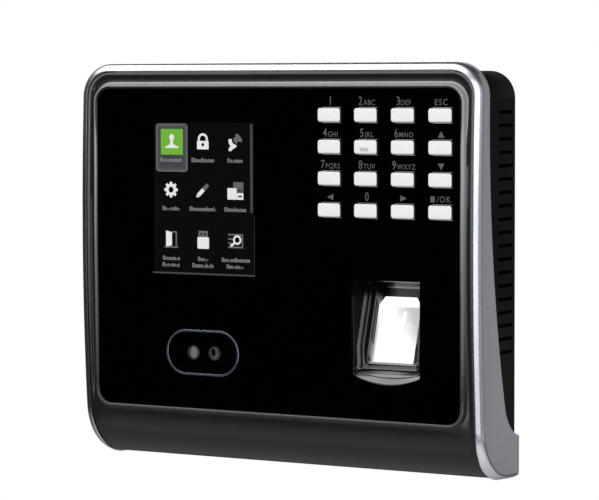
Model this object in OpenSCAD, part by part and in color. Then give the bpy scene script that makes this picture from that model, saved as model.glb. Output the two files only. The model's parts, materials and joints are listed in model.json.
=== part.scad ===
// Fingerprint scanner terminal with screen, keypad and camera, hung on a wall bracket.
// X runs to the right as seen from the front, Y into the wall and Z up, in millimetres.
// The origin lies on the wall plane, at the centre of the bracket's four wall screws.

/* [Body] */
// Width across the two silver side rims
body_w = 167.5; // [167:0.1:168]
// Height from the underside of the silver cheeks to the top
body_h = 148.8; // [148.4:0.1:149.2]
// Depth from the wall to the foremost rim
body_d = 32.2; // [32.1:0.1:32.4]
// Radius of the two top corners
corner_r = 12; // [11:0.5:13]
// Radius of the two bottom corners
foot_r = 3; // [2.5:0.5:3.5]
// Thickness of the silver side walls
rim_t = 1.7; // [1.6:0.1:1.7]
// Width of the silver front rim
rim_w = 3.25; // [3:0.05:3.4]
// Wall thickness of the rear housing
wall = 2; // [1.8:0.1:2.2]

/* [Front glass] */
// Width of the black front glass
glass_w = 151.5; // [151:0.1:152]
// Height of the black front glass
glass_h = 117.5; // [117:0.1:118]
// Height of the glass centre above the origin
glass_z = 6.35; // [6.2:0.05:6.5]
// Thickness of the glass
glass_t = 1.8; // [1.6:0.1:1.8]
// Distance from the wall to the glass face
glass_d = 31.4; // [31.3:0.1:31.5]
// Corner radius of the glass
glass_r = 5; // [4:0.5:6]

/* [Keypad] */
// Width of a key
key_w = 9.4; // [9:0.1:9.6]
// Height of a key
key_h = 5.2; // [5:0.1:5.4]
// Distance between key columns
key_pitch_x = 14.8; // [14.6:0.1:15]
// Distance between key rows
key_pitch_z = 11.3; // [11.2:0.1:11.4]
// How far a key stands out of the glass
key_proud = 1.2; // [1:0.1:1.3]
// Travel of a pressed key
key_travel = 0.6; // [0.4:0.1:0.7]

/* [Fingerprint reader] */
// Width of the finger opening
finger_w = 27.6; // [27:0.1:28]
// Centre of the finger opening to the right of the origin
finger_x = 46.1; // [46:0.1:46.3]
// Width of the lit window
window_w = 17; // [16.6:0.1:17.2]
// Tilt of the window from upright
window_tilt = 17.4; // [16.8:0.1:18]

/* [Wall bracket] */
// Distance between the wall screws across
screw_x = 60; // [59:0.5:61]
// Distance between the wall screws up and down
screw_z = 44; // [43.5:0.5:44.5]
// Diameter of the wall screw holes
screw_hole_d = 4.4; // [4:0.1:4.6]

/* [Hidden] */
$fn = 64;

// Room left between pieces that are fitted together
gap = 0.05;
// A length that reaches past any wall that is cut
past = 3;

// Outer limits
half_w = body_w / 2;
top_z = body_h / 2;
bottom_z = -body_h / 2;
front_y = -body_d;

// Crowned front: two gentle arcs meet at crown_z, and a tight one rolls the chin under
crown_z = 10;
crown_top_r = 1100;
crown_low_r = 900;
chin_z = -54;
chin_r = 21.5;
chin_a = asin((crown_z - chin_z) / crown_low_r);
chin_cy = front_y + crown_low_r - (crown_low_r - chin_r) * cos(chin_a);
chin_cz = crown_z - (crown_low_r - chin_r) * sin(chin_a);

// Rear edge of the silver side: a long arc that flares out to the wall at the foot
edge_y = -24;
edge_z = 54;
edge_r = 412;
flare_r = 15;
edge_a = 14.3;
flare_cy = edge_y + edge_r - (edge_r - flare_r) * cos(edge_a);
flare_cz = edge_z - (edge_r - flare_r) * sin(edge_a);

// Depths of the layers behind the front, as distances along Y
rim_depth = 1.75;
bezel_back_of_rim = 0.8;
bezel_t = 2;
plate_back_y = -27.3;
glass_y = -glass_d;
glass_back_y = glass_y + glass_t;
mask_t = 0.15;
ledge_y = -29.3;
bezel_end_y = -13.4;

// Rear housing
house_w = 2 * (half_w - rim_t - gap);
house_top = 71.4;
house_r = 9.75;
house_front_y = -27.2;
house_back_y = -0.2;
rear_wall_y = -3.4;
under_z = -72.6;
cavity_z = under_z + wall;
pocket_y = -1.6;

// Vent slots in each side
vent_count = 19;
vent_top_z = 56.8;
vent_pitch = 4.73;
vent_h = 1.2;
vent_y = [-13.5, -2.3];

// Screws that hold the shells together: [x, z, depth at which the bezel's boss starts]
shell_screws = [[-73.5, 65.6, -28.3], [73.5, 65.6, -28.3], [-73.5, -58, -25.9], [73.5, -58, -25.9]];
boss_meet_y = -20;
screw_tip_y = -24.8;

// Screen, as the box of its metal frame
screen_x = [-54.3, -4.3];
screen_z = [-13.2, 56];
view_x = [-50.9, -7.7];
view_z = [-2.7, 52.8];

// Camera window and lenses
ring_x = -30.1;
ring_z = -31.9;
ring_w = 31.3;
ring_h = 16.8;
ring_line = 0.8;
ring_depth = 0.5;
lens_x = [-33.7, -24.7];
lens_r = 2.65;

// Keypad
key_x0 = 24;
key_z0 = 55.8;
key_r = 0.9;
key_play = 0.2;
key_flange = [11, 6.8, 0.8];
stem_r = 1.2;
stem_tip_y = -26.2;
switch_size = 6.2;
switch_y = [-26.8, -24];
keypad_y = [-24, -22.4];
keypad_x = [11.8, 79.4];
keypad_z = [16, 61.8];
keypad_fixings = [[14, 58.5], [77.2, 58.5], [14, 19.5], [77.2, 19.5]];

// Fingerprint reader: the window's face is a slanted line through (window_y0, window_z[0])
finger_top = -2.8;
finger_low = -39.9;
finger_arc_r = 34.3;
window_z = [-32.3, -9.3];
window_y0 = -25.9;
reader_x = [30.6, 61.6];
reader_z = [-41.6, -1.2];
reader_back_y = -14;
frame_t = 0.8;
prism_w = 17.6;
prism_z = [-33, -8.5];

// Main board and what stands on it
board_y = [-14.6, -13];
board_x = [-69, 26];
board_z = [-64, 46];
board_fixings = [[-64, 41], [21, 41], [-64, -48], [21, -22]];
bay_x = [-43, 28];
bay_z = [-69.4, -30];
bay_t = 1.4;
bay_floor_y = [-12.6, -11.4];
jack_x = [-40, -24];
jack_z = [-47.5, -32];
jack_y = [-13, -1.6];
header_z = [-40, -32];
header_y = [-13, -6.5];
relay_x = [-21, -4];
reader_plug_x = [-1, 13];
power_x = [16, 25];
usb_x = [-68.4, -55.2];
usb_y = [-12.9, -7];
usb_z = [-70.4, -56];
reset_x = -50;
reset_y = -11;
tamper_x = 0;
tamper_z = 10;
speaker_x = -62;
speaker_z = -28;
speaker_r = 14;

// USB cover and its hinge line
cover_x = [-71, -52.6];
cover_y = [-12.8, -5];
cover_z = [-72.5, -71.7];
hinge_y = -4.6;
hinge_z = -72;
hinge_r = 0.55;

// Wall bracket
plate_t = 1.2;
plate_x = 46;
plate_z = [-27.5, 53];
tongue_x = [48, 62];
tongue_z = -69.2;
tongue_y = -9;
lock_x = 55;
lock_y = -5.5;
hook_x = 36;
hook_zs = [36, -8];
hook_w = 8;
hook_lip = 6;
hook_y = -5;

// Colours
black = "#1b1c1e";
charcoal = "#3a3c40";
silver = "#a7abb1";
glass_black = "#060607";
steel = "#b9bcc0";
board_green = "#1f5b3a";
key_white = "#e9ebec";
socket_ivory = "#d9d6c8";
flex_amber = "#b8762c";

// Points of an arc about (cy, cz), from angle a0 to a1, counted down from the -Y direction
function arc(cy, cz, r, a0, a1, n) =
  [for (i = [0:n]) let (a = a0 + (a1 - a0) * i / n) [cy - r * cos(a), cz - r * sin(a)]];

// Front line of the body from top to underside, moved in by d
function front_line(d) = concat(
  arc(front_y + crown_top_r, crown_z, crown_top_r - d, -3.6, -0.4, 6),
  arc(front_y + crown_low_r, crown_z, crown_low_r - d, 0, chin_a, 6),
  arc(chin_cy, chin_cz, chin_r - d, chin_a + 5, 85, 14));

// Rear edge of the silver side from top to wall
function silver_edge() = concat(
  arc(edge_y + edge_r, edge_z, edge_r, -4, edge_a, 14),
  arc(flare_cy, flare_cz, flare_r, edge_a + 6, acos(flare_cy / flare_r), 8));

// Depth of the silver side's rear edge at height z
function silver_edge_y(z) = edge_y + edge_r - sqrt(edge_r * edge_r - (z - edge_z) * (z - edge_z));

// Depth of the reader window's face at height z
function window_y(z) = window_y0 + (z - window_z[0]) * tan(window_tilt);

// Extrudes a shape drawn in X and Z from y0 to y1
module along_y(y0, y1) {
  translate([0, y1, 0]) rotate([90, 0, 0]) linear_extrude(y1 - y0) children();
}

// Extrudes a shape drawn in Y and Z from x0 to x1
module along_x(x0, x1) {
  translate([x0, 0, 0]) rotate([90, 0, 90]) linear_extrude(x1 - x0) children();
}

// Box between two limits on each axis
module block(x, y, z) {
  translate([x[0], y[0], z[0]]) cube([x[1] - x[0], y[1] - y[0], z[1] - z[0]]);
}

// Round post along Y at (x, z)
module post(x, z, r, y0, y1) {
  translate([x, y1, z]) rotate([90, 0, 0]) cylinder(r = r, h = y1 - y0);
}

// Round post along Z at (x, y)
module pole(x, y, r, z0, z1) {
  translate([x, y, z0]) cylinder(r = r, h = z1 - z0);
}

// Rectangle centred on (x, z) with rounded corners
module rounded(x, z, w, h, r) {
  translate([x, z]) union() {
    square([w - 2 * r, h], center = true);
    square([w, h - 2 * r], center = true);
    for (sx = [-1, 1], sz = [-1, 1]) translate([sx * (w / 2 - r), sz * (h / 2 - r)]) circle(r);
  }
}

// Front outline between two heights, with large top corners and small bottom ones
module outline(w, z0, z1, rt, rb) {
  union() {
    translate([-w / 2, z0 + rb]) square([w, z1 - z0 - rb - rt]);
    translate([-w / 2 + rt, z0 + rb]) square([w - 2 * rt, z1 - z0 - rb]);
    translate([-w / 2 + rb, z0]) square([w - 2 * rb, rb + 1]);
    for (s = [-1, 1]) {
      translate([s * (w / 2 - rt), z1 - rt]) circle(rt);
      translate([s * (w / 2 - rb), z0 + rb]) circle(rb);
    }
  }
}

// Side view of the body behind its front line, moved in by d
module side_shape(d) {
  polygon(concat(front_line(d), [[0, bottom_z + d], [past, bottom_z + d], [past, top_z + past]]));
}

// Side view of what lies in front of the silver side's rear edge
module silver_side() {
  polygon(concat(silver_edge(), [[past, flare_cz - flare_r], [past, bottom_z - past],
    [front_y - past, bottom_z - past], [front_y - past, top_z + past]]));
}

// Outline of the finger opening: straight sides and a bowed lower lip
module finger_outline(grow) {
  intersection() {
    translate([finger_x - finger_w / 2 - grow, finger_low - grow])
      square([finger_w + 2 * grow, finger_top - finger_low + 2 * grow]);
    translate([finger_x, finger_low + finger_arc_r]) circle(finger_arc_r + grow, $fn = 96);
  }
}

// Calls its children at each key's place
module each_key() {
  for (column = [0:3], row = [0:3])
    translate([key_x0 + column * key_pitch_x, 0, key_z0 - row * key_pitch_z]) children();
}

// Outline of the front glass, grown by g
module glass_outline(g) {
  rounded(0, glass_z, glass_w + 2 * g, glass_h + 2 * g, glass_r + g);
}

// Openings that go through the glass and through its printed mask
module front_holes(y0, y1) {
  along_y(y0, y1) finger_outline(0);
  each_key() along_y(y0, y1)
    rounded(0, 0, key_w + 2 * key_play, key_h + 2 * key_play, key_r + key_play);
}

// Flat ribbon: a bent strip along points [y, z], 0.3 thick, from x0 to x1
module ribbon(points, x0, x1) {
  thick = 0.3;
  last = len(points) - 1;
  function step(i) = points[min(i + 1, last)] - points[max(i - 1, 0)];
  function side(i) = [step(i)[1], -step(i)[0]] * thick / norm(step(i));
  shifted = [for (i = [last:-1:0]) points[i] + side(i)];
  color(flex_amber) along_x(x0, x1) polygon(concat(points, shifted));
}

// Smooth point at t between p1 and p2, with their neighbours p0 and p3
function blend(p0, p1, p2, p3, t) = 0.5 * (2 * p1 + (p2 - p0) * t
  + (2 * p0 - 5 * p1 + 4 * p2 - p3) * t * t + (3 * p1 - p0 - 3 * p2 + p3) * t * t * t);

// Route through hand-chosen points, with three steps from each to the next
function route(p) = let (n = len(p) - 1) concat([for (i = [0:n - 1], s = [0:2])
  blend(p[max(i - 1, 0)], p[i], p[i + 1], p[min(i + 2, n)], s / 3)], [p[n]]);

// Wire of radius r along a route of points
module wire(points, r) {
  sides = 8;
  path = route(points);
  last = len(path) - 1;
  function unit(v) = v / norm(v);
  function heading(i) = unit(path[min(i + 1, last)] - path[max(i - 1, 0)]);
  function across(i) = unit(cross(heading(i), [0, 0.3, 1]));
  rings = [for (i = [0:last], k = [0:sides - 1]) path[i]
    + r * cos(k * 360 / sides) * across(i)
    + r * sin(k * 360 / sides) * cross(heading(i), across(i))];
  skin = [for (i = [0:last - 1], k = [0:sides - 1]) let (m = (k + 1) % sides)
    [i * sides + k, (i + 1) * sides + k, (i + 1) * sides + m, i * sides + m]];
  first_cap = [for (k = [0:sides - 1]) k];
  last_cap = [for (k = [sides - 1:-1:0]) last * sides + k];
  polyhedron(rings, concat(skin, [first_cap, last_cap]), convexity = 4);
}

// Rear housing: side walls, back wall, underside, connector bay and bosses
module rear_housing() {
  color(black) difference() {
    union() {
      difference() {
        union() {
          intersection() {
            along_y(house_front_y, house_back_y)
              outline(house_w, bottom_z + 1, house_top, house_r, foot_r);
            along_x(-half_w, half_w) side_shape(3);
            block([-half_w, half_w], [front_y, 0], [under_z, top_z]);
          }
          block([-house_w / 2, house_w / 2], [bezel_end_y + 0.1, house_back_y], [under_z, -66]);
        }
        along_y(front_y - past, bezel_end_y + 0.1) outline(house_w - 2 * wall, bottom_z - past,
          house_top - wall, house_r - wall, foot_r);
        along_y(bezel_end_y, rear_wall_y) outline(house_w - 2 * wall, cavity_z,
          house_top - wall, house_r - wall, foot_r);
      }
      block([bay_x[0] - bay_t, bay_x[1] + bay_t], [bay_floor_y[0], rear_wall_y + 1],
        [bay_z[0] - bay_t, bay_z[1] + bay_t]);
      for (p = shell_screws) post(p[0], p[1], 3.4, boss_meet_y, rear_wall_y + 0.5);
      for (p = board_fixings) post(p[0], p[1], 3, board_y[1], rear_wall_y + 0.5);
    }
    block(bay_x, [bay_floor_y[1], past], bay_z);
    connector_cuts();
    housing_cuts();
    bracket_pocket();
  }
}

// Cuts through the bay floor, one for each connector
module connector_cuts() {
  play = 0.3;
  for (c = [[jack_x, jack_z], [relay_x, header_z], [reader_plug_x, header_z], [power_x, header_z]])
    block([c[0][0] - play, c[0][1] + play], [bay_floor_y[0] - past, bay_floor_y[1] + past],
      [c[1][0] - play, c[1][1] + play]);
}

// Vents, speaker slots, screw bores and the openings of the underside
module housing_cuts() {
  for (i = [0:vent_count - 1]) {
    z = vent_top_z - i * vent_pitch;
    y0 = max(vent_y[0], silver_edge_y(z) + 2.2);
    for (s = [-1, 1])
      block([s * house_w / 2 - wall - 0.1, s * house_w / 2 + wall + 0.1],
        [y0, vent_y[1]], [z - vent_h / 2, z + vent_h / 2]);
  }
  for (i = [-3:3]) block([speaker_x - 9, speaker_x + 9], [rear_wall_y - past, past],
    [speaker_z + i * 3 - 0.6, speaker_z + i * 3 + 0.6]);
  for (p = shell_screws) {
    post(p[0], p[1], 3.1, -2.6, past);
    post(p[0], p[1], 1.6, boss_meet_y - past, -2.6);
  }
  for (p = board_fixings) post(p[0], p[1], 1.2, board_y[1] - past, -5);
  for (sx = [-1, 1], sz = [-1, 1])
    post(sx * screw_x / 2, sz * screw_z / 2, 4.5, rear_wall_y - 1, past);
  post(tamper_x, tamper_z, 1.9, rear_wall_y - 1, past);
  pole(reset_x, reset_y, 1, under_z - past, cavity_z + 1);
  pole(lock_x, lock_y, 1.6, under_z - past, cavity_z + 1);
  pole(lock_x, lock_y, 3.2, under_z - past, under_z + 1.2);
  block([usb_x[0] - 0.3, usb_x[1] + 0.3], [usb_y[0] - 0.2, usb_y[1] + 0.4],
    [under_z - past, cavity_z + 1]);
  block([cover_x[0] - 0.2, cover_x[1] + 0.2], [cover_y[0] - 0.2, hinge_y + 0.9],
    [under_z - past, cover_z[1] + 0.1]);
  translate([cover_x[0] - 0.2, hinge_y, hinge_z]) rotate([0, 90, 0])
    cylinder(r = hinge_r + 0.15, h = cover_x[1] - cover_x[0] + 0.4);
}

// Shallow pocket for the bracket, with a slot for each hook and one for the tongue
module bracket_pocket() {
  play = 0.5;
  block([-plate_x - play, plate_x + play], [pocket_y, past], [plate_z[0] - play, plate_z[1] + play]);
  block([plate_x - 1, tongue_x[1] + play], [pocket_y, past], [plate_z[0] - play, -9.5]);
  block([tongue_x[0] - play, tongue_x[1] + play], [pocket_y, past], [tongue_z - play, -9.5]);
  block([tongue_x[0] - play, tongue_x[1] + play], [rear_wall_y - 1, past],
    [tongue_z - play, tongue_z + plate_t + play]);
  for (sx = [-1, 1], hz = hook_zs)
    block([sx * hook_x - hook_w / 2 - play, sx * hook_x + hook_w / 2 + play],
      [rear_wall_y - 1, past], [hz - hook_lip - play, hz + plate_t + 0.1]);
}

// Silver arch: two cheeks and a top band, with a rim that wraps onto the front
module silver_shell() {
  color(silver) difference() {
    intersection() {
      along_y(front_y - past, 0) outline(body_w, bottom_z, top_z, corner_r, foot_r);
      along_x(-half_w, half_w) side_shape(0);
      along_x(-half_w, half_w) silver_side();
    }
    intersection() {
      along_y(front_y - past, past) outline(body_w - 2 * rim_t, bottom_z - 9, house_top + gap,
        house_r, foot_r);
      along_x(-half_w, half_w) side_shape(rim_depth);
    }
    along_y(front_y - past, past) outline(body_w - 2 * rim_w, bottom_z - 9, top_z - rim_w - gap,
      corner_r - rim_w, foot_r);
    block([rim_t - half_w, half_w - rim_t], [bezel_end_y - 0.1, past], [under_z - 0.1, 0]);
  }
}

// Dark frame round the glass, in one piece with the chin
module front_bezel() {
  color(charcoal) difference() {
    union() {
      difference() {
        intersection() {
          along_y(front_y - past, bezel_end_y) outline(body_w - 2 * rim_w - 2 * gap, bottom_z,
            top_z - rim_w - 2 * gap, corner_r - rim_w, foot_r);
          along_x(-half_w, half_w) side_shape(bezel_back_of_rim);
        }
        intersection() {
          block([-half_w, half_w], [plate_back_y, past], [bottom_z - past, top_z]);
          along_x(-half_w, half_w) side_shape(bezel_back_of_rim + bezel_t);
        }
      }
      for (p = shell_screws) post(p[0], p[1], 3.2, p[2], boss_meet_y);
      for (p = keypad_fixings) post(p[0], p[1], 2.2, plate_back_y - 1, keypad_y[0]);
    }
    along_y(front_y - past, ledge_y) glass_outline(0.1);
    along_y(front_y - past, plate_back_y + 0.1) bezel_windows();
    for (p = shell_screws) post(p[0], p[1], 1.5, screw_tip_y - 0.3, boss_meet_y + past);
    for (p = keypad_fixings) post(p[0], p[1], 0.9, -26.7, keypad_y[0] + past);
  }
}

// Windows in the bezel plate for the screen, camera, keys and reader
module bezel_windows() {
  play = 0.3;
  for (w = [[screen_x, screen_z], [[-45.6, -14.6], [-40.2, -23.6]], [[17, 74.6], [17.5, 60.5]],
      [reader_x, reader_z]])
    translate([w[0][0] - play, w[1][0] - play])
      square([w[0][1] - w[0][0] + 2 * play, w[1][1] - w[1][0] + 2 * play]);
}

// Black front glass with the key holes, the finger opening and a groove for the ring
module front_glass() {
  color(glass_black) difference() {
    along_y(glass_y, glass_back_y) glass_outline(0);
    front_holes(glass_y - past, glass_back_y + past);
    ring_band(glass_y - past, glass_y + ring_depth);
  }
}

// Pill-shaped band round the camera window
module ring_band(y0, y1) {
  along_y(y0, y1) difference() {
    rounded(ring_x, ring_z, ring_w, ring_h, ring_h / 2 - 0.01);
    rounded(ring_x, ring_z, ring_w - 2 * ring_line, ring_h - 2 * ring_line,
      ring_h / 2 - ring_line - 0.01);
  }
}

// Black printed film on the back of the glass, clear at the screen and the lenses
module glass_mask() {
  color(black) difference() {
    along_y(glass_back_y, glass_back_y + mask_t) glass_outline(-0.2);
    front_holes(glass_back_y - 1, ledge_y + 1);
    block(view_x, [glass_back_y - 1, ledge_y + 1], view_z);
    for (x = lens_x) post(x, ring_z, 2, glass_back_y - 1, ledge_y + 1);
  }
}

// Sealing adhesive between the mask and the bezel's ledge
module glass_adhesive() {
  color("#101010") along_y(glass_back_y + mask_t, ledge_y) difference() {
    glass_outline(-0.2);
    glass_outline(-1.2);
  }
}

// Thin metal ring let into the glass round the camera window
module camera_ring() {
  color(steel) ring_band(glass_y, glass_y + ring_depth);
}

// Twin camera: one body with two lens barrels
module camera_module() {
  color(black) difference() {
    union() {
      block([-41, -18], [-27.2, -22.5], [-38.5, -25.5]);
      for (x = lens_x) post(x, ring_z, 3.4, -29.1, -27.1);
    }
    for (x = lens_x) post(x, ring_z, lens_r + gap, -29.1 - past, -26);
  }
}

// One lens in its barrel
module camera_lens(x) {
  color("#20242c") post(x, ring_z, lens_r, -28.9, -26.1);
}

// Infrared lamp board round the two barrels
module infrared_board() {
  color(board_green) difference() {
    union() {
      block([-45.2, -15], [-28.9, -28.1], [-39.8, -24]);
      for (x = [-42.6, -38.8, -19.6, -16.6], z = [-36.5, -27.3]) post(x, z, 1.1, -29.25, -28.8);
    }
    for (x = lens_x) post(x, ring_z, 3.7, -29.1 - past, -26);
  }
}

// Ribbon from the camera to the main board
module camera_flex() {
  ribbon([[-22.5, -31], [-18.6, -31], [-17.6, -30], [-16.2, -30]], -35, -25);
}

// Metal frame that carries the screen
module display_frame() {
  color(steel) difference() {
    block(screen_x, [-29.2, -26.6], screen_z);
    block([screen_x[0] + 0.8, screen_x[1] - 0.8], [-29.2 - past, -27], [-6, screen_z[1] - 0.8]);
  }
}

// Liquid crystal panel and its backlight, as one bonded block
module display_panel() {
  color("#15181c") block([screen_x[0] + 0.9, screen_x[1] - 0.9], [-29.2, -27.1],
    [-5.9, screen_z[1] - 0.9]);
}

// Ribbon from the screen to the main board
module display_flex() {
  ribbon([[-26.6, -11], [-24.8, -11], [-22.4, -13], [-19.4, -16], [-17.8, -17], [-16.2, -17]], -36, -22);
}

// Grey frame of the reader: a finger well with a slanted window in its back
module fingerprint_surround() {
  low = window_z[0];
  high = window_z[1];
  color("#5b5e62") difference() {
    block(reader_x, [-29.4, reader_back_y], reader_z);
    intersection() {
      along_y(front_y, reader_back_y) finger_outline(-0.7);
      along_x(reader_x[0], reader_x[1]) polygon([[-33, finger_top + past], [-33, finger_low - past],
        [-29.4, -39.2], [window_y(low - 3.6) - 1.6, low - 3.6],
        [window_y(low - 2.2) - 1.4, low - 2.2], [window_y(low - 2.2) - frame_t, low - 2.2],
        [window_y(high + 2.2) - frame_t, high + 2.2], [window_y(high + 3.4) - 2.4, high + 3.4],
        [window_y(high + 3.4) - 4, high + 4.6], [-29.4, -3.4]]);
    }
    block([finger_x - window_w / 2, finger_x + window_w / 2], [-33, reader_back_y - 2], window_z);
    along_x(finger_x - prism_w / 2 - 0.1, finger_x + prism_w / 2 + 0.1)
      prism_side(0.1, reader_back_y + past);
  }
}

// Side view of the reader's glass wedge, grown by g and reaching back to y1
module prism_side(g, y1) {
  low = prism_z[0] - g;
  high = prism_z[1] + g;
  polygon([[window_y(low) - g / 2, low], [y1, low], [y1, high], [window_y(high) - g / 2, high]]);
}

// Glass wedge that the finger is laid on
module fingerprint_prism() {
  color("#f4f6f7") along_x(finger_x - prism_w / 2, finger_x + prism_w / 2)
    prism_side(0, reader_back_y);
}

// Sealed box of the reader's lamp, mirror and sensor
module fingerprint_module() {
  color(black) block([36, 56], [reader_back_y, -8.2], [-38, -3]);
}

// Circuit board of the reader
module fingerprint_board() {
  color(board_green) block([34, 58], [-8.2, -7], [-39, -2]);
}

// Ribbon from the reader's board to the main board
module fingerprint_ribbon() {
  color(flex_amber) translate([0, 0, -18]) linear_extrude(10) polygon([[34, -7.9], [30.6, -7.9],
    [29.2, -9.3], [29.2, -11.6], [27.8, -13], [21, -13], [21, -12.7], [27.7, -12.7],
    [28.9, -11.5], [28.9, -9.2], [30.5, -7.6], [34, -7.6]]);
}

// Keypad circuit board
module keypad_board() {
  color(board_green) difference() {
    block(keypad_x, keypad_y, keypad_z);
    for (p = keypad_fixings) post(p[0], p[1], 1.1, keypad_y[0] - past, keypad_y[1] + past);
  }
}

// Sixteen small switches, each with a well for its key's stem
module key_switches() {
  color("#2b2d30") each_key() difference() {
    along_y(switch_y[0], switch_y[1]) square(switch_size, center = true);
    post(0, 0, stem_r + 0.3, switch_y[0] - past, switch_y[0] + 1.6);
  }
}

// Ribbon from the keypad to the main board
module keypad_ribbon() {
  ribbon([[-22.4, 19], [-20.6, 19], [-19.2, 17.6], [-16.2, 17.6]], 17, 23);
}

// Screws that hold the keypad board to the bezel
module keypad_screws() {
  color(steel) for (p = keypad_fixings) {
    post(p[0], p[1], 1.9, keypad_y[1], keypad_y[1] + 1.2);
    post(p[0], p[1], 0.85, -26.4, keypad_y[1] + 0.1);
  }
}

// One key: cap, flange behind the glass and stem down to its switch
module keypad_key(column, row, marked) {
  color(key_white) translate([key_x0 + column * key_pitch_x, 0, key_z0 - row * key_pitch_z])
    union() {
      along_y(glass_y - key_proud, ledge_y) rounded(0, 0, key_w, key_h, key_r);
      along_y(ledge_y, ledge_y + key_flange[2]) square([key_flange[0], key_flange[1]], center = true);
      post(0, 0, stem_r, ledge_y, stem_tip_y);
      if (marked) block([-1.6, 1.6], [glass_y - key_proud - 0.1, glass_y - 1], [-1.7, -1.3]);
    }
}

// Main circuit board
module main_board() {
  color(board_green) difference() {
    block(board_x, board_y, board_z);
    for (p = board_fixings) post(p[0], p[1], 1.3, board_y[0] - past, board_y[1] + past);
  }
}

// Chips, shield can and small headers that stand on the main board
module board_parts() {
  front = [board_y[0] - 1.6, board_y[0]];
  back = [board_y[1], board_y[1] + 3.5];
  color("#33363a") {
    block([-60, -30], [board_y[0] - 2.8, board_y[0]], [5, 40]);
    block([-20, -4], front, [12, 28]);
    block([2, 12], front, [-12, -4]);
    block([-62, -52], front, [-30, -18]);
    block([-38, -20], front, [-19, -15.6]);
    block([-36, -24], front, [-32, -28.4]);
    block([12, 24], front, [15.6, 19]);
    block([-44, -38], back, [-20, -14]);
    block([15, 22], back, [26, 32]);
  }
}

// Screws that hold the main board
module board_screws() {
  color(steel) for (p = board_fixings) {
    post(p[0], p[1], 2.6, board_y[0] - 1.6, board_y[0]);
    post(p[0], p[1], 1.15, board_y[0] - 0.1, -6);
  }
}

// Network jack, open downwards
module network_socket() {
  mouth_x = [jack_x[0] + 2.1, jack_x[1] - 2.1];
  color(steel) difference() {
    block(jack_x, jack_y, jack_z);
    block(mouth_x, [-12, -5], [jack_z[0] - past, -35]);
    block([-34, -30], [-5.1, -3.6], [jack_z[0] - past, -38]);
  }
}

// Pin header in a shell that is open downwards
module header(x, pins) {
  shell = 0.8;
  color(socket_ivory) difference() {
    block(x, header_y, header_z);
    block([x[0] + shell, x[1] - shell], [header_y[0] + shell, header_y[1] - shell],
      [header_z[0] - past, header_z[1] - 1.5]);
  }
  pitch = (x[1] - x[0] - 2) / pins;
  color("gold") for (i = [0:pins - 1])
    translate([x[0] + 1 + pitch * (i + 0.5) - 0.3, (header_y[0] + header_y[1]) / 2 - 0.3,
      header_z[0] + 1]) cube([0.6, 0.6, header_z[1] - header_z[0] - 2.4]);
}

// USB socket, open downwards, with its tongue
module usb_socket() {
  skin = 0.35;
  color(steel) difference() {
    block(usb_x, usb_y, usb_z);
    block([usb_x[0] + skin, usb_x[1] - skin], [usb_y[0] + skin, usb_y[1] - skin],
      [usb_z[0] - past, usb_z[1] - 2]);
  }
  color("#dddddd") block([usb_x[0] + 1.1, usb_x[1] - 1.1], [usb_y[0] + skin + 2.6, usb_y[1] - skin - 0.6],
    [usb_z[0] + 1, usb_z[1] - 1.9]);
}

// Rubber cover of the USB socket, with its hinge bead and plug
module usb_cover() {
  color(black) union() {
    block(cover_x, [cover_y[0], hinge_y], cover_z);
    translate([cover_x[0], hinge_y, hinge_z]) rotate([0, 90, 0])
      cylinder(r = hinge_r, h = cover_x[1] - cover_x[0]);
    block([usb_x[0] + 1.2, usb_x[1] - 1.2], [usb_y[0] + 0.6, usb_y[1] - 0.2],
      [cover_z[0] + 0.2, cavity_z]);
  }
}

// Reset switch on the main board
module reset_switch() {
  color("#2b2d30") difference() {
    block([reset_x - 2.5, reset_x + 2.5], [board_y[1], -9], [-60, -54]);
    pole(reset_x, reset_y, 1.05, -60 - past, -57);
  }
}

// Reset button, reached with a pin through the underside
module reset_button() {
  color(key_white) union() {
    pole(reset_x, reset_y, 0.9, -65, -57.8);
    pole(reset_x, reset_y, 1.6, -68.5, -64.5);
  }
}

// Tamper switch on the back of the main board
module tamper_switch() {
  color("#2b2d30") difference() {
    block([tamper_x - 3, tamper_x + 3], [board_y[1], -7.5], [tamper_z - 3, tamper_z + 3]);
    post(tamper_x, tamper_z, 1.6, -11.6, -7.5 + past);
  }
}

// Sprung plunger that feels the bracket
module tamper_plunger() {
  color(key_white) post(tamper_x, tamper_z, 1.5, -10.2, -1.35);
}

// Round speaker against the back wall
module speaker() {
  color(charcoal) union() {
    post(speaker_x, speaker_z, speaker_r, -5.9, rear_wall_y);
    post(speaker_x, speaker_z, speaker_r - 2.5, -7.2, -5.9 + gap);
    post(speaker_x, speaker_z, 7.5, -9.8, -7.2 + gap);
  }
}

// Twin lead from the speaker to the main board
module speaker_lead() {
  color("#a03030") for (s = [0, 1.4]) wire([[-50.6, -6.7, -21 + s], [-47.5, -6.9, -20 + s],
    [-45.5, -8.2, -18.6 + s], [-44.6, -10, -17.8 + s], [-44.45, -11.2, -17.6 + s]], 0.45);
}

// Backup battery pack
module backup_battery() {
  color("#2f62a8") block([47, 77], [-11.4, rear_wall_y], [0, 56]);
}

// Twin lead from the battery to the main board
module battery_lead() {
  color("#202020") for (s = [0, 1.4]) wire([[47, -8, 44 + s], [43.5, -8, 44 + s],
    [38, -8.4, 42 + s], [32, -9.6, 35 + s], [27, -10.9, 29.6 + s], [22, -11.2, 28.4 + s]], 0.45);
}

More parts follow.
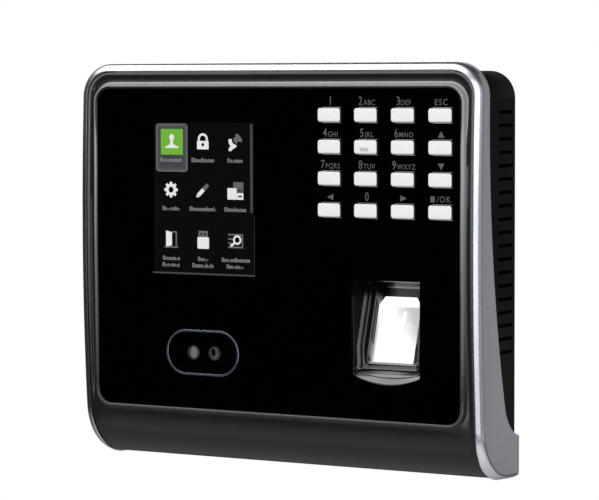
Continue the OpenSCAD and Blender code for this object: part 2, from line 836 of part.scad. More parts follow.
// Steel wall bracket: plate, four hooks and a tongue for the lock screw
module wall_bracket() {
  color(steel) difference() {
    union() {
      block([-plate_x, plate_x], [-plate_t, 0], plate_z);
      block([plate_x - 2, tongue_x[1]], [-plate_t, 0], [plate_z[0], -10]);
      block(tongue_x, [-plate_t, 0], [tongue_z, -10]);
      block(tongue_x, [tongue_y, 0], [tongue_z, tongue_z + plate_t]);
      for (sx = [-1, 1], hz = hook_zs) {
        block([sx * hook_x - hook_w / 2, sx * hook_x + hook_w / 2], [hook_y, 0], [hz, hz + plate_t]);
        block([sx * hook_x - hook_w / 2, sx * hook_x + hook_w / 2], [hook_y, hook_y + plate_t],
          [hz, hz + hook_lip]);
      }
    }
    for (sx = [-1, 1], sz = [-1, 1])
      post(sx * screw_x / 2, sz * screw_z / 2, screw_hole_d / 2, -plate_t - past, past);
    pole(lock_x, lock_y, 1.25, tongue_z - past, tongue_z + past);
  }
}

// Screw that locks the housing to the bracket's tongue
module lock_screw() {
  color(steel) union() {
    pole(lock_x, lock_y, 2.9, under_z, under_z + 1.15);
    pole(lock_x, lock_y, 1.2, under_z + 1, -64);
  }
}

// Four long screws that hold the rear housing to the bezel
module housing_screws() {
  color(steel) for (p = shell_screws) {
    post(p[0], p[1], 2.8, -2.6, -0.8);
    post(p[0], p[1], 1.45, screw_tip_y, -2.5);
  }
}

rear_housing();
silver_shell();
front_bezel();
front_glass();
glass_mask();
glass_adhesive();
camera_ring();
camera_module();
camera_lens(lens_x[0]);  // camera_lens_left
camera_lens(lens_x[1]);  // camera_lens_right
infrared_board();
camera_flex();
display_frame();
display_panel();
display_flex();
fingerprint_surround();
fingerprint_prism();
fingerprint_module();
fingerprint_board();
fingerprint_ribbon();
keypad_board();
key_switches();
keypad_ribbon();
keypad_screws();
keypad_key(0, 0, false);  // key_1
keypad_key(1, 0, false);  // key_2
keypad_key(2, 0, false);  // key_3
keypad_key(3, 0, false);  // key_escape
keypad_key(0, 1, false);  // key_4
keypad_key(1, 1, true);  // key_5
keypad_key(2, 1, false);  // key_6
keypad_key(3, 1, false);  // key_up
keypad_key(0, 2, false);  // key_7
keypad_key(1, 2, false);  // key_8
keypad_key(2, 2, false);  // key_9
keypad_key(3, 2, false);  // key_down
keypad_key(0, 3, false);  // key_left
keypad_key(1, 3, false);  // key_0
keypad_key(2, 3, false);  // key_right
keypad_key(3, 3, false);  // key_menu
main_board();
board_parts();
board_screws();
network_socket();
header(relay_x, 6);  // relay_socket
header(reader_plug_x, 5);  // reader_socket
header(power_x, 2);  // power_socket
usb_socket();
usb_cover();
reset_switch();
reset_button();
tamper_switch();
tamper_plunger();
speaker();
speaker_lead();
backup_battery();
battery_lead();
wall_bracket();
lock_screw();
housing_screws();
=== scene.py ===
import json
import random
from math import acos, asin, cos, hypot, pi, radians, sin, sqrt, tan

import bmesh
import bpy
from mathutils import Matrix, Vector
from mathutils.geometry import tessellate_polygon

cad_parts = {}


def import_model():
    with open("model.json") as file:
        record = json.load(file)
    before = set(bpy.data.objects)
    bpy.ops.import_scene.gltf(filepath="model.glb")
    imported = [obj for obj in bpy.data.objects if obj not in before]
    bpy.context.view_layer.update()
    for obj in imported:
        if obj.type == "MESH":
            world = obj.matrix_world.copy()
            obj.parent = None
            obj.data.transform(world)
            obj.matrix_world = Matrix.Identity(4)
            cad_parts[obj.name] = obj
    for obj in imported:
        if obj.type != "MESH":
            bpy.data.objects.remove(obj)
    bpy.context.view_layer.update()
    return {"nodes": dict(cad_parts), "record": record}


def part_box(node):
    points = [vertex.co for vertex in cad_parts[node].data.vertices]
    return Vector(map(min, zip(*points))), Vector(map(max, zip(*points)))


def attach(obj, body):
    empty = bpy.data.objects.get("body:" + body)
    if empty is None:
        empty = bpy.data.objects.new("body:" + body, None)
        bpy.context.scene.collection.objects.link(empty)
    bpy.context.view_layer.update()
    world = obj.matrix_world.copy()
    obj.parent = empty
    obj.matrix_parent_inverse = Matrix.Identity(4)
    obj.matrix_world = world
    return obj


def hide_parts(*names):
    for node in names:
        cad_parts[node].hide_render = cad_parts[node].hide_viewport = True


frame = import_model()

MM = 0.001
HOUSING = "housing"


def box_mm(node):
    """Lowest and highest corners of a CAD node, in millimetres."""
    low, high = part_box(node)
    return [v / MM for v in low], [v / MM for v in high]


def centre_mm(node):
    """Centre of a CAD node as seen from the front, in millimetres."""
    low, high = box_mm(node)
    return (low[0] + high[0]) / 2, (low[2] + high[2]) / 2


def mix(a, b, t):
    return a + (b - a) * t


def smooth_step(low, high, value):
    t = min(max((value - low) / (high - low), 0), 1)
    return t * t * (3 - 2 * t)


def line(a, b, count):
    """Even points after a, up to and with b."""
    return [(mix(a[0], b[0], i / count), mix(a[1], b[1], i / count)) for i in range(1, count + 1)]


def arc(x, z, radius, start, end, count):
    """Even points after the start of an arc, up to and with its end. Its angles are in degrees."""
    turns = [radians(mix(start, end, i / count)) for i in range(1, count + 1)]
    return [(x + radius * cos(a), z + radius * sin(a)) for a in turns]


def along(value, stops):
    """Value of a curve through stops (position, level), eased from each to the next."""
    if value <= stops[0][0]:
        return stops[0][1]
    for (x0, y0), (x1, y1) in zip(stops, stops[1:]):
        if value <= x1:
            return mix(y0, y1, smooth_step(x0, x1, value))
    return stops[-1][1]


# ---------------------------------------------------------------- sizes read from the frame
SHELL_LOW, SHELL_HIGH = box_mm("silver_shell")
GLASS_LOW, GLASS_HIGH = box_mm("front_glass")
BEZEL_HIGH = box_mm("front_bezel")[1]
HALF_W = SHELL_HIGH[0]
TOP = SHELL_HIGH[2]
BOTTOM = SHELL_LOW[2]
FRONT = SHELL_LOW[1]
GLASS_FACE = GLASS_LOW[1]
GLASS_BACK = GLASS_HIGH[1]
GLASS_MID = (GLASS_LOW[2] + GLASS_HIGH[2]) / 2
GLASS_HALF_W = GLASS_HIGH[0]
GLASS_HALF_H = (GLASS_HIGH[2] - GLASS_LOW[2]) / 2
GLASS_CORNER = 5.0

# Crowned front: two long arcs meet at CROWN_Z and a tight one rolls the chin under
CORNER_R = 12.0
CROWN_Z = 10.0
CROWN_TOP_R = 1100.0
CROWN_LOW_R = 900.0
CHIN_Z = -54.0
CHIN_R = 21.5
CHIN_TURN = asin((CROWN_Z - CHIN_Z) / CROWN_LOW_R)
CHIN_CY = FRONT + CROWN_LOW_R - (CROWN_LOW_R - CHIN_R) * cos(CHIN_TURN)
CHIN_CZ = CROWN_Z - (CROWN_LOW_R - CHIN_R) * sin(CHIN_TURN)
ROLL_TURN = radians(85)
CHIN_RUN = CROWN_LOW_R * CHIN_TURN
ROLL_RUN = CHIN_RUN + CHIN_R * (ROLL_TURN - CHIN_TURN)
ROLL_POINT = (CHIN_CY - CHIN_R * cos(ROLL_TURN), CHIN_CZ - CHIN_R * sin(ROLL_TURN))
WALL_RUN = ROLL_RUN + hypot(ROLL_POINT[0], ROLL_POINT[1] - BOTTOM)

# Rear edge of the silver side
EDGE_Y = -24.0
EDGE_Z = 54.0
EDGE_R = 412.0
FLARE_R = 15.0
EDGE_TURN = radians(14.3)
FLARE_CY = EDGE_Y + EDGE_R - (EDGE_R - FLARE_R) * cos(EDGE_TURN)
FLARE_CZ = EDGE_Z - (EDGE_R - FLARE_R) * sin(EDGE_TURN)

# Silver rim: how far its inner edge lies in from the side, at each height
RIM_INSETS = [(-71, 3.8), (-64, 3.3), (-58, 2.95), (-50, 2.85)]
RIM_TOP_INSET = 2.85
RIM_DEPTH = 3.1
RIM_ROUND = 2.4
SIDE_WALL = 1.65
TOP_WALL = 2.95
SEAM = 0.15
OPENING_GAP = 0.15
OPENING_HALF_W = GLASS_HALF_W + OPENING_GAP
OPENING_HALF_H = GLASS_HALF_H + OPENING_GAP
OPENING_R = GLASS_CORNER + OPENING_GAP

# Finger well and the slanted window in it
READER_LOW, READER_HIGH = box_mm("fingerprint_surround")
PRISM_LOW, PRISM_HIGH = box_mm("fingerprint_prism")
FINGER_X = centre_mm("fingerprint_surround")[0]
FINGER_W = 27.6
FINGER_TOP = -2.8
FINGER_ARC_R = 34.3
FINGER_LOW_SAG = -39.9
WELL_FACE = GLASS_BACK + 0.06
WINDOW_TILT = tan(radians(17.4))
WINDOW_LOW = -32.3
WINDOW_HIGH = -9.3
WINDOW_Y = -25.9
WELL_NEAREST = -29.4

# Selected tile of the screen's menu
TILE_X = -43.02
TILE_Z = 43.5
TILE_W = 13.8
TILE_H = 17.7


def front(height, inset=0.0):
    """Point (y, z) of the front at a height measured along it from the crown, moved in by inset."""
    run = CROWN_Z - height
    if run < 0:
        turn, radius, cy, cz = run / CROWN_TOP_R, CROWN_TOP_R, FRONT + CROWN_TOP_R, CROWN_Z
    elif run < CHIN_RUN:
        turn, radius, cy, cz = run / CROWN_LOW_R, CROWN_LOW_R, FRONT + CROWN_LOW_R, CROWN_Z
    elif run < ROLL_RUN:
        turn, radius, cy, cz = CHIN_TURN + (run - CHIN_RUN) / CHIN_R, CHIN_R, CHIN_CY, CHIN_CZ
    else:
        t = (run - ROLL_RUN) / (WALL_RUN - ROLL_RUN)
        slope = Vector((-ROLL_POINT[0], BOTTOM - ROLL_POINT[1])).normalized()
        return (mix(ROLL_POINT[0], 0, t) - slope[1] * inset,
                mix(ROLL_POINT[1], BOTTOM, t) + slope[0] * inset)
    return cy - (radius - inset) * cos(turn), cz - (radius - inset) * sin(turn)


def front_y(z):
    """Depth of the front at a height z above the chin."""
    radius = CROWN_TOP_R if z > CROWN_Z else CROWN_LOW_R
    return FRONT + radius - sqrt(radius ** 2 - (z - CROWN_Z) ** 2)


def edge_y(z):
    """Depth of the silver side's rear edge at a height z above the flare."""
    return EDGE_Y + EDGE_R - sqrt(EDGE_R ** 2 - (z - EDGE_Z) ** 2)


# ---------------------------------------------------------------- mesh tools
def finish_mesh(name, points, faces, flat=(), sharp=34, weld=True):
    """Mesh in metres from points in millimetres, welded, with its normals out and its creases sharp."""
    mesh = bpy.data.meshes.new(name)
    mesh.from_pydata([[v * MM for v in p] for p in points], [], faces)
    flat = set(flat)
    for i, polygon in enumerate(mesh.polygons):
        polygon.use_smooth = i not in flat
    work = bmesh.new()
    work.from_mesh(mesh)
    if weld:
        bmesh.ops.remove_doubles(work, verts=work.verts, dist=2e-6)
        bmesh.ops.dissolve_degenerate(work, edges=work.edges, dist=1e-6)
    bmesh.ops.recalc_face_normals(work, faces=work.faces)
    work.to_mesh(mesh)
    work.free()
    smooth = [polygon.use_smooth for polygon in mesh.polygons]
    mesh.set_sharp_from_angle(angle=radians(sharp))
    mesh.polygons.foreach_set("use_smooth", smooth)
    return mesh


def join(parts):
    """One (points, faces, flat) from several."""
    points, faces, flat = [], [], []
    for part in parts:
        shift, count = len(points), len(faces)
        points += part[0]
        faces += [[i + shift for i in face] for face in part[1]]
        flat += [i + count for i in part[2]]
    return points, faces, flat


def placed(name, data):
    """New object in the scene."""
    obj = bpy.data.objects.new(name, data)
    bpy.context.scene.collection.objects.link(obj)
    return obj


def piece(name, mesh, slot, mark=None, body=HOUSING, stands_for=()):
    """Object that rides on a body, with the finish of its slot in the record or of a mark on it."""
    obj = placed(name, mesh)
    mesh.materials.clear()
    mesh.materials.append(MARKS[mark] if mark else MATERIALS[slot])
    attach(obj, body)
    if stands_for:
        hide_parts(*stands_for)
    return obj


def quads(a, b, size, closed=True):
    """Faces between two rows of points that start at a and b."""
    count = size if closed else size - 1
    return [[a + k, a + (k + 1) % size, b + (k + 1) % size, b + k] for k in range(count)]


def loft(rings, closed=False):
    """Skin over rings of equal length, capped at both ends unless it is closed."""
    size = len(rings[0])
    points = [p for ring in rings for p in ring]
    faces = []
    for i in range(len(rings) if closed else len(rings) - 1):
        faces += quads(i * size, (i + 1) % len(rings) * size, size)
    flat = []
    if not closed:
        flat = [len(faces), len(faces) + 1]
        faces += [list(range(size)), list(range(len(points) - size, len(points)))]
    return points, faces, flat


def rounded_loop(x, z, w, h, r, steps=8):
    """Rectangle with round corners, as (x, z) points in turn."""
    loop = []
    for sx, sz, start in ((1, 1, 0), (-1, 1, 90), (-1, -1, 180), (1, -1, 270)):
        cx, cz = x + sx * (w / 2 - r), z + sz * (h / 2 - r)
        loop += [(cx + r * cos(radians(start)), cz + r * sin(radians(start)))]
        loop += arc(cx, cz, r, start, start + 90, steps)
    return loop


def circle_loop(x, z, r, steps=24, stretch=1.0):
    angles = [2 * pi * i / steps for i in range(steps)]
    return [(x + r * cos(angle), z + stretch * r * sin(angle)) for angle in angles]


def grown(loop, distance):
    """Loop moved outward by a distance at every point. The loop runs anticlockwise."""
    result = []
    count = len(loop)
    for i, (x, z) in enumerate(loop):
        before, after = Vector(loop[i - 1]), Vector(loop[(i + 1) % count])
        a, b = (Vector((x, z)) - before), (after - Vector((x, z)))
        a = a.normalized() if a.length > 1e-6 else b.normalized()
        b = b.normalized() if b.length > 1e-6 else a
        normal = Vector((a.y + b.y, -a.x - b.x)).normalized()
        scale = max(normal.dot(Vector((a.y, -a.x))), 0.5)
        result.append((x + normal.x * distance / scale, z + normal.y * distance / scale))
    return result


def plate(loops, y0, y1, edge=0.0, steps=3):
    """Plate from y0 back to y1 with an outline and holes, and its front edges rounded by edge."""
    stages = [(edge * (1 - sin(a)), y0 + edge * (1 - cos(a)))
              for a in [pi / 2 * i / steps for i in range(steps + 1)]] if edge else [(0.0, y0)]
    stages.append((0.0, y1))
    points, faces = [], []
    for number, loop in enumerate(loops):
        start, size = len(points), len(loop)
        for inset, y in stages:
            outline = grown(loop, inset if number else -inset) if inset else loop
            points += [(x, y, z) for x, z in outline]
        for s in range(len(stages) - 1):
            faces += quads(start + s * size, start + (s + 1) * size, size)
    flat = []
    for stage in (0, len(stages) - 1):
        index, outlines, start = [], [], 0
        for loop in loops:
            ids = list(range(start + stage * len(loop), start + (stage + 1) * len(loop)))
            index += ids
            outlines.append([Vector((points[i][0], points[i][2], 0)) for i in ids])
            start += len(stages) * len(loop)
        for triangle in tessellate_polygon(outlines):
            flat.append(len(faces))
            faces.append([index[i] for i in triangle])
    return points, faces, flat


# ---------------------------------------------------------------- material tools
def fill(tree, socket, value):
    """Links a shader's input to a value made in the tree, or sets it to a plain one."""
    value = value.socket if isinstance(value, Number) else value
    if isinstance(value, bpy.types.NodeSocket):
        tree.links.new(value, socket)
    else:
        socket.default_value = value


class Number:
    """Number made in a shader. Python's own operators on it add Math nodes."""

    def __init__(self, tree, socket):
        self.tree = tree
        self.socket = socket

    def math(self, operation, *others):
        node = self.tree.nodes.new("ShaderNodeMath")
        node.operation = operation
        for socket, value in zip(node.inputs, (self,) + others):
            fill(self.tree, socket, value)
        return Number(self.tree, node.outputs[0])

    def __add__(self, other):
        return self.math("ADD", other)

    def __sub__(self, other):
        return self.math("SUBTRACT", other)

    def __rsub__(self, other):
        return self * -1.0 + other

    def __mul__(self, other):
        return self.math("MULTIPLY", other)

    def __pow__(self, other):
        return self.math("POWER", other)

    def __abs__(self):
        return self.math("ABSOLUTE")

    __rmul__ = __mul__


class Nodes:
    """Short way to build a shader: nodes with settings, inputs by name, and links."""

    def __init__(self, name):
        self.material = bpy.data.materials.new(name)
        self.material.use_nodes = True
        self.tree = self.material.node_tree
        self.shader = self.tree.nodes["Principled BSDF"]
        coordinates = self.add("ShaderNodeTexCoord").outputs
        self.place = coordinates["Object"]
        self.normal = coordinates["Normal"]

    def add(self, kind, inputs=None, **settings):
        node = self.tree.nodes.new(kind)
        for key, value in settings.items():
            setattr(node, key, value)
        for key, value in (inputs or {}).items():
            fill(self.tree, node.inputs[key], value)
        return node

    def number(self, kind, output, inputs=None, **settings):
        return Number(self.tree, self.add(kind, inputs, **settings).outputs[output])

    def noise(self, scale, detail=3.0, roughness=0.55):
        inputs = {"Vector": self.place, "Scale": scale, "Detail": detail, "Roughness": roughness}
        return self.number("ShaderNodeTexNoise", "Fac", inputs)

    def ranged(self, value, low, high, from_low=0.0, from_high=1.0, kind="LINEAR"):
        """Value moved from one range to another, and held to its ends."""
        inputs = {"Value": value, "From Min": from_low, "From Max": from_high, "To Min": low, "To Max": high}
        return self.number("ShaderNodeMapRange", "Result", inputs, interpolation_type=kind)

    def ease(self, value, low, high):
        """Smooth step from 0 at low to 1 at high, whichever is larger."""
        return self.ranged(value, 0.0, 1.0, low, high, "SMOOTHSTEP")

    def most(self, first, *others):
        """Largest of several numbers."""
        for other in others:
            first = first.math("MAXIMUM", other)
        return first

    def blend(self, factor, a, b):
        return self.add("ShaderNodeMix", {0: factor, 6: a, 7: b}, data_type="RGBA").outputs[2]

    def axis(self, name, vector=None):
        """One axis of a vector, or of the place in millimetres."""
        if vector:
            return self.number("ShaderNodeSeparateXYZ", name, {"Vector": vector})
        return self.axis(name, self.place) * (1 / MM)

    def outside(self, half_w, low, high, radius):
        """Distance out from an upright rounded rectangle centred on X = 0, in millimetres."""
        dx = abs(self.axis("X")) - (half_w - radius)
        dz = abs(self.axis("Z") - (low + high) / 2) - ((high - low) / 2 - radius)
        far = self.most(dx, 0.0) ** 2.0 + self.most(dz, 0.0) ** 2.0
        return far ** 0.5 + self.most(dx, dz).math("MINIMUM", 0.0) - radius

    def bump(self, height, distance):
        bump = self.add("ShaderNodeBump", {"Height": height, "Distance": distance, "Strength": 1.0})
        self.set(Normal=bump.outputs["Normal"])

    def set(self, **values):
        """Sets the surface's inputs, named with underscores for spaces, and gives its material."""
        for key, value in values.items():
            fill(self.tree, self.shader.inputs[key.replace("_", " ")], value)
        return self.material


def grey(level, blue=0.0):
    return (level * (1 - blue), level * (1 - blue * 0.35), level * (1 + blue), 1.0)


def tinted(color, factor):
    return tuple(c * factor for c in color[:3]) + (1.0,)


def surface(name, color, roughness, grain=900.0, depth=0.01, **values):
    """Moulded or painted finish: cloudy colour, uneven gloss and a fine grain of the given depth."""
    n = Nodes(name)
    cloud = n.noise(35.0)
    n.bump(n.noise(grain, detail=2.0), depth * MM)
    return n.set(Base_Color=n.blend(cloud, tinted(color, 0.88), tinted(color, 1.12)),
                 Roughness=n.ranged(cloud, roughness - 0.06, roughness + 0.06, 0.3, 0.7), **values)


def lacquer(name, color, roughness, metallic):
    """Metallic lacquer under a clear film, with painted shade on the rim's faces to the front and a painted
    pale highlight at the foot of the rim.
    """
    n = Nodes(name)
    flakes = n.add("ShaderNodeTexVoronoi", {"Vector": n.place, "Scale": 4200.0})
    level = n.add("ShaderNodeSeparateColor", {"Color": flakes.outputs["Color"]}).outputs["Red"]
    cloud = n.noise(22.0)
    z = n.axis("Z")
    # Painted shade: faces of the rim that look to the front are darkened toward near black, a little more low
    # down.
    rim = n.ease(n.axis("Y", n.normal), -0.45, -0.9) * n.ease(z, 62.0, 20.0) * n.ease(z, -59.5, -55.0)
    rim = rim * (n.ease(z, 10.0, -55.0) * 0.15 + 0.46)
    # Painted highlight: a pale colour on the faces at the rim's foot that do not look sideways.
    foot = n.ease(abs(n.axis("X", n.normal)), 0.95, 0.7) * n.ease(z, -53.0, -57.5)
    base = n.blend(level, tinted(color, 0.86), tinted(color, 1.14))
    base = n.blend(n.ranged(cloud, 0.0, 0.25), base, tinted(color, 0.9))
    base = n.blend(foot, base, (0.82, 0.84, 0.89, 1))
    n.bump(n.noise(700.0, detail=2.0), 0.004 * MM)
    return n.set(Base_Color=n.blend(rim, base, grey(0.02)), Metallic=metallic, Coat_Weight=0.35,
                 Roughness=n.ranged(cloud, roughness - 0.04, roughness + 0.05, 0.3, 0.7), Coat_Roughness=0.12)


def lit(name, color, base=0.02, pixel=0.0):
    """Lit surface with a faint unevenness, and a fine pixel grid where pixel is its pitch in millimetres."""
    n = Nodes(name)
    cloud = n.noise(60.0)
    shade = n.blend(n.ranged(cloud, 0.0, 0.18, 0.3, 0.7), color, tinted(color, 0.7))
    if pixel:
        for direction in ("X", "Z"):
            inputs = {"Vector": n.place, "Scale": 1 / (pixel * MM * 20)}
            wave = n.number("ShaderNodeTexWave", "Fac", inputs, bands_direction=direction)
            shade = n.blend(n.ranged(wave, 0.0, 0.12), shade, tinted(color, 0.5))
    return n.set(Base_Color=grey(base), Emission_Color=shade, Emission_Strength=1.0, Specular_IOR_Level=0.1,
                 Roughness=n.ranged(cloud, 0.1, 0.18))


def brushed(name, color, roughness):
    """Drawn or plated metal with fine lines along X."""
    n = Nodes(name)
    stretched = n.add("ShaderNodeMapping", {"Vector": n.place, "Scale": (60.0, 2600.0, 2600.0)})
    lines = n.number("ShaderNodeTexNoise", "Fac", {"Vector": stretched.outputs["Vector"], "Scale": 1.0})
    n.bump(lines, 0.006 * MM)
    return n.set(Base_Color=n.blend(lines, tinted(color, 0.8), tinted(color, 1.15)), Metallic=1.0,
                 Roughness=n.ranged(lines, roughness - 0.08, roughness + 0.1))


def circuit(name):
    """Green solder mask with darker copper tracks and pale dots of solder."""
    n = Nodes(name)
    tracks = n.add("ShaderNodeTexBrick", {"Vector": n.place, "Scale": 180.0, "Mortar Size": 0.03,
                                          "Color1": (0.006, 0.09, 0.035, 1), "Color2": (0.008, 0.12, 0.05, 1),
                                          "Mortar": (0.02, 0.2, 0.09, 1)})
    dots = n.number("ShaderNodeTexVoronoi", "Distance", {"Vector": n.place, "Scale": 260.0})
    pads = n.ranged(dots, 1.0, 0.0, 0.16, 0.2)
    n.bump(pads, 0.02 * MM)
    return n.set(Base_Color=n.blend(pads, tracks.outputs["Color"], (0.5, 0.5, 0.46, 1)),
                 Metallic=n.ranged(pads, 0.0, 0.8), Roughness=0.32)


def glass_black(name):
    """Black back-printed glass: a clean gloss face with faint smudges."""
    n = Nodes(name)
    smudge_and_shade = n.noise(28.0, detail=5.0, roughness=0.7)
    return n.set(Base_Color=n.blend(smudge_and_shade, grey(0.0002), grey(0.0004)), Specular_IOR_Level=0.01,
                 Roughness=n.ranged(smudge_and_shade, 0.02, 0.075, 0.4, 0.75))


def bezel_finish(name):
    """Satin mouldings: a lighter bead round the glass whose growth with height and fade toward the chin are
    painted light and shade, a painted highlight on the grey ridge by the rim, and a painted highlight line
    along the glass's lower edge.
    """
    n = Nodes(name)
    fine = n.noise(2200.0, detail=2.0)
    z = n.axis("Z")
    from_opening = n.outside(OPENING_HALF_W, GLASS_MID - OPENING_HALF_H, GLASS_MID + OPENING_HALF_H,
                             OPENING_R)
    past_foot = -300.0
    to_rim = n.outside(HALF_W - RIM_TOP_INSET - SEAM, past_foot, TOP - RIM_TOP_INSET - SEAM,
                       CORNER_R - RIM_TOP_INSET - SEAM) * -1.0
    crown = from_opening - n.ease(z, 44.0, 56.0) * 0.5
    # Painted light and shade: the bead's lighter trim colour grows with height and fades out toward the chin.
    high = n.ease(z, -15.0, 50.0) * 0.17 + n.ease(z, -58.0, -5.0) * 0.09
    bead = n.ease(crown, 0.0, 0.7) * n.ease(crown, 2.05, 1.75) * high
    # Painted highlight on the ridge by the rim, fading toward the bottom.
    ridge = n.ease(to_rim, 1.15, 0.95) * n.ease(z, -45.0, 45.0) * 0.085
    # Painted highlight: a faint light line by the glass's lower edge.
    foot = n.ease(from_opening, 1.5, 0.2) * n.ease(z, -44.0, -51.0) * 0.05
    dark = n.blend(n.noise(18.0), grey(0.007, 0.06), grey(0.009, 0.08))
    n.bump(fine, 0.003 * MM)
    return n.set(Base_Color=n.blend((bead + ridge + foot) * 2.0, dark, grey(0.5)), Specular_IOR_Level=0.32,
                 Roughness=n.ranged(fine, 0.24, 0.34))


def housing_finish(name):
    """Black fine-grained plastic, a shade lighter toward the foot."""
    n = Nodes(name)
    cloud = n.noise(35.0)
    top = n.blend(cloud, grey(0.0008), grey(0.0012))
    foot = n.blend(cloud, grey(0.0050), grey(0.0062))
    n.bump(n.noise(1300.0, detail=2.0), 0.03 * MM)
    return n.set(Base_Color=n.blend(n.ease(n.axis("Z"), 10.0, -60.0), top, foot), Specular_IOR_Level=0.04,
                 Roughness=n.ranged(cloud, 0.46, 0.58, 0.3, 0.7))


def reader_finish(name):
    """Glossy grey frame of the finger well: gloss on what faces out, painted shade that turns its corners,
    walls, steps and faces turned away nearly black, and painted highlights on its upper ledge and upper
    right.
    """
    n = Nodes(name)
    x, z = n.axis("X"), n.axis("Z")
    facing = n.ease(n.axis("Y", n.normal), -0.25, -0.7)
    # Painted shade: masks that darken the upper corner, the left wall, the window's seat, the steps, the
    # shelf and the lip toward near black.
    corner = n.ease(x, 43.5, 40.5) * n.ease(z, -16.0, -7.0)
    wall = n.ease(x, 37.6, 36.6) * n.ease(z, -35.2, -33.5) * 0.75
    seat = n.ease(x, 38.2, 38.6) * n.ease(x, 41.0, 40.0) * n.ease(z, -33.0, -24.0)
    step = n.ease(z, -32.9, -33.2) * n.ease(z, -34.75, -34.3) * 0.8
    edge = n.ease(n.axis("Y"), WELL_FACE + 1.3, WELL_FACE + 1.0)
    to_side = abs(x - FINGER_X) * (1 / 13.0)
    shelf_shade = n.ease(z, -34.7, -35.0) * (n.ease(to_side, 0.1, 0.75) * 0.33 + 0.62) * (1.0 - edge)
    left = n.ease(x, 45.0, 36.0) * n.ease(z, -34.9, -35.3) * n.ease(z, -38.2, -37.0) * 0.8
    dark = n.most(corner, wall, seat, step, shelf_shade, edge * n.ease(z, -33.0, -35.0) * 0.35, left)
    # Painted shade: faces turned away from the front keep a near black colour.
    clear = (1.0 - dark) * facing
    # Painted highlights: lighter greys on the ledge at the top of the well and across its upper right.
    ledge_highlight = n.blend(n.ease(z, -6.6, -6.1), grey(0.06), grey(0.22))
    upper = n.ease(z, -12.0, -8.0) * n.ease(x, 43.0, 45.0)
    satin = n.blend(upper, n.blend(n.noise(60.0), grey(0.016), grey(0.022)), ledge_highlight)
    n.bump(n.noise(1800.0, detail=2.0), 0.003 * MM)
    return n.set(Base_Color=n.blend(clear, grey(0.002), satin), Roughness=n.ranged(facing, 0.5, 0.22),
                 Specular_IOR_Level=n.ranged(clear, 0.02, 1.0), Coat_Weight=n.ranged(clear, 0.0, 0.5),
                 Coat_Roughness=0.12)


def key_finish(name):
    """White keys lit from behind: their faces glow, and the grey of their sloped edges and sides is painted
    shade.
    """
    n = Nodes(name)
    cloud = n.noise(240.0)
    # Painted shade: the less a face looks to the front, the greyer it is and the less it glows.
    facing = n.ranged(n.axis("Y", n.normal), 0.0, 1.0, -0.62, -0.985)
    n.bump(n.noise(1500.0), 0.003 * MM)
    return n.set(Base_Color=n.blend(facing, grey(0.015), n.blend(cloud, grey(0.36), grey(0.40))),
                 Emission_Color=n.blend(facing, grey(0.0), (0.98, 0.985, 1.0, 1)), Emission_Strength=0.34,
                 Roughness=n.ranged(cloud, 0.28, 0.4))


def window_finish(name):
    """Frosted optical window, evenly lit but for a painted shaded patch at its upper right, a painted
    highlight streak across that patch, and painted shade along its left edge.
    """
    n = Nodes(name)
    u = n.ranged(n.axis("X"), 0.0, 1.0, 37.6, 54.6)
    v = n.ranged(n.axis("Z"), 0.0, 1.0, WINDOW_LOW, WINDOW_HIGH)
    # Painted shade and highlight: a shaded patch toward the upper right with a light streak in it, and a
    # dimmer left edge.
    slope = u * 1.1 + v + n.ranged(n.noise(150.0), -0.12, 0.12, 0.3, 0.7)
    streak_highlight = n.ease(abs(u - 0.64), 0.05, 0.01) * n.ease(v, 0.58, 0.64) * n.ease(v, 0.80, 0.76)
    smudge_and_shade = n.ease(slope, 1.0, 1.75) * n.ease(v, 0.87, 0.83) * (1.0 - streak_highlight)
    edge = n.ease(u, 0.11, 0.0) * n.ease(v, 0.9, 0.4)
    shade = smudge_and_shade * 0.6 + edge * 0.75
    return n.set(Base_Color=grey(0.1), Emission_Color=n.blend(shade, grey(1.0), (0.05, 0.05, 0.055, 1)),
                 Emission_Strength=1.0, Roughness=n.ranged(n.noise(500.0), 0.12, 0.22))


def tile_light(name):
    """Selected tile: grey that is brighter toward its edges, most at the top and bottom."""
    n = Nodes(name)
    x = n.ranged(n.axis("X"), -1.0, 1.0, TILE_X - TILE_W / 2, TILE_X + TILE_W / 2)
    z = n.ranged(n.axis("Z"), -1.0, 1.0, TILE_Z - TILE_H / 2, TILE_Z + TILE_H / 2)
    shade = n.blend(n.most(abs(x) ** 9.0, abs(z) ** 12.0), (0.042, 0.044, 0.05, 1), (0.14, 0.14, 0.15, 1))
    return n.set(Base_Color=grey(0.01), Emission_Color=shade, Emission_Strength=1.0, Roughness=0.12,
                 Specular_IOR_Level=0.1)


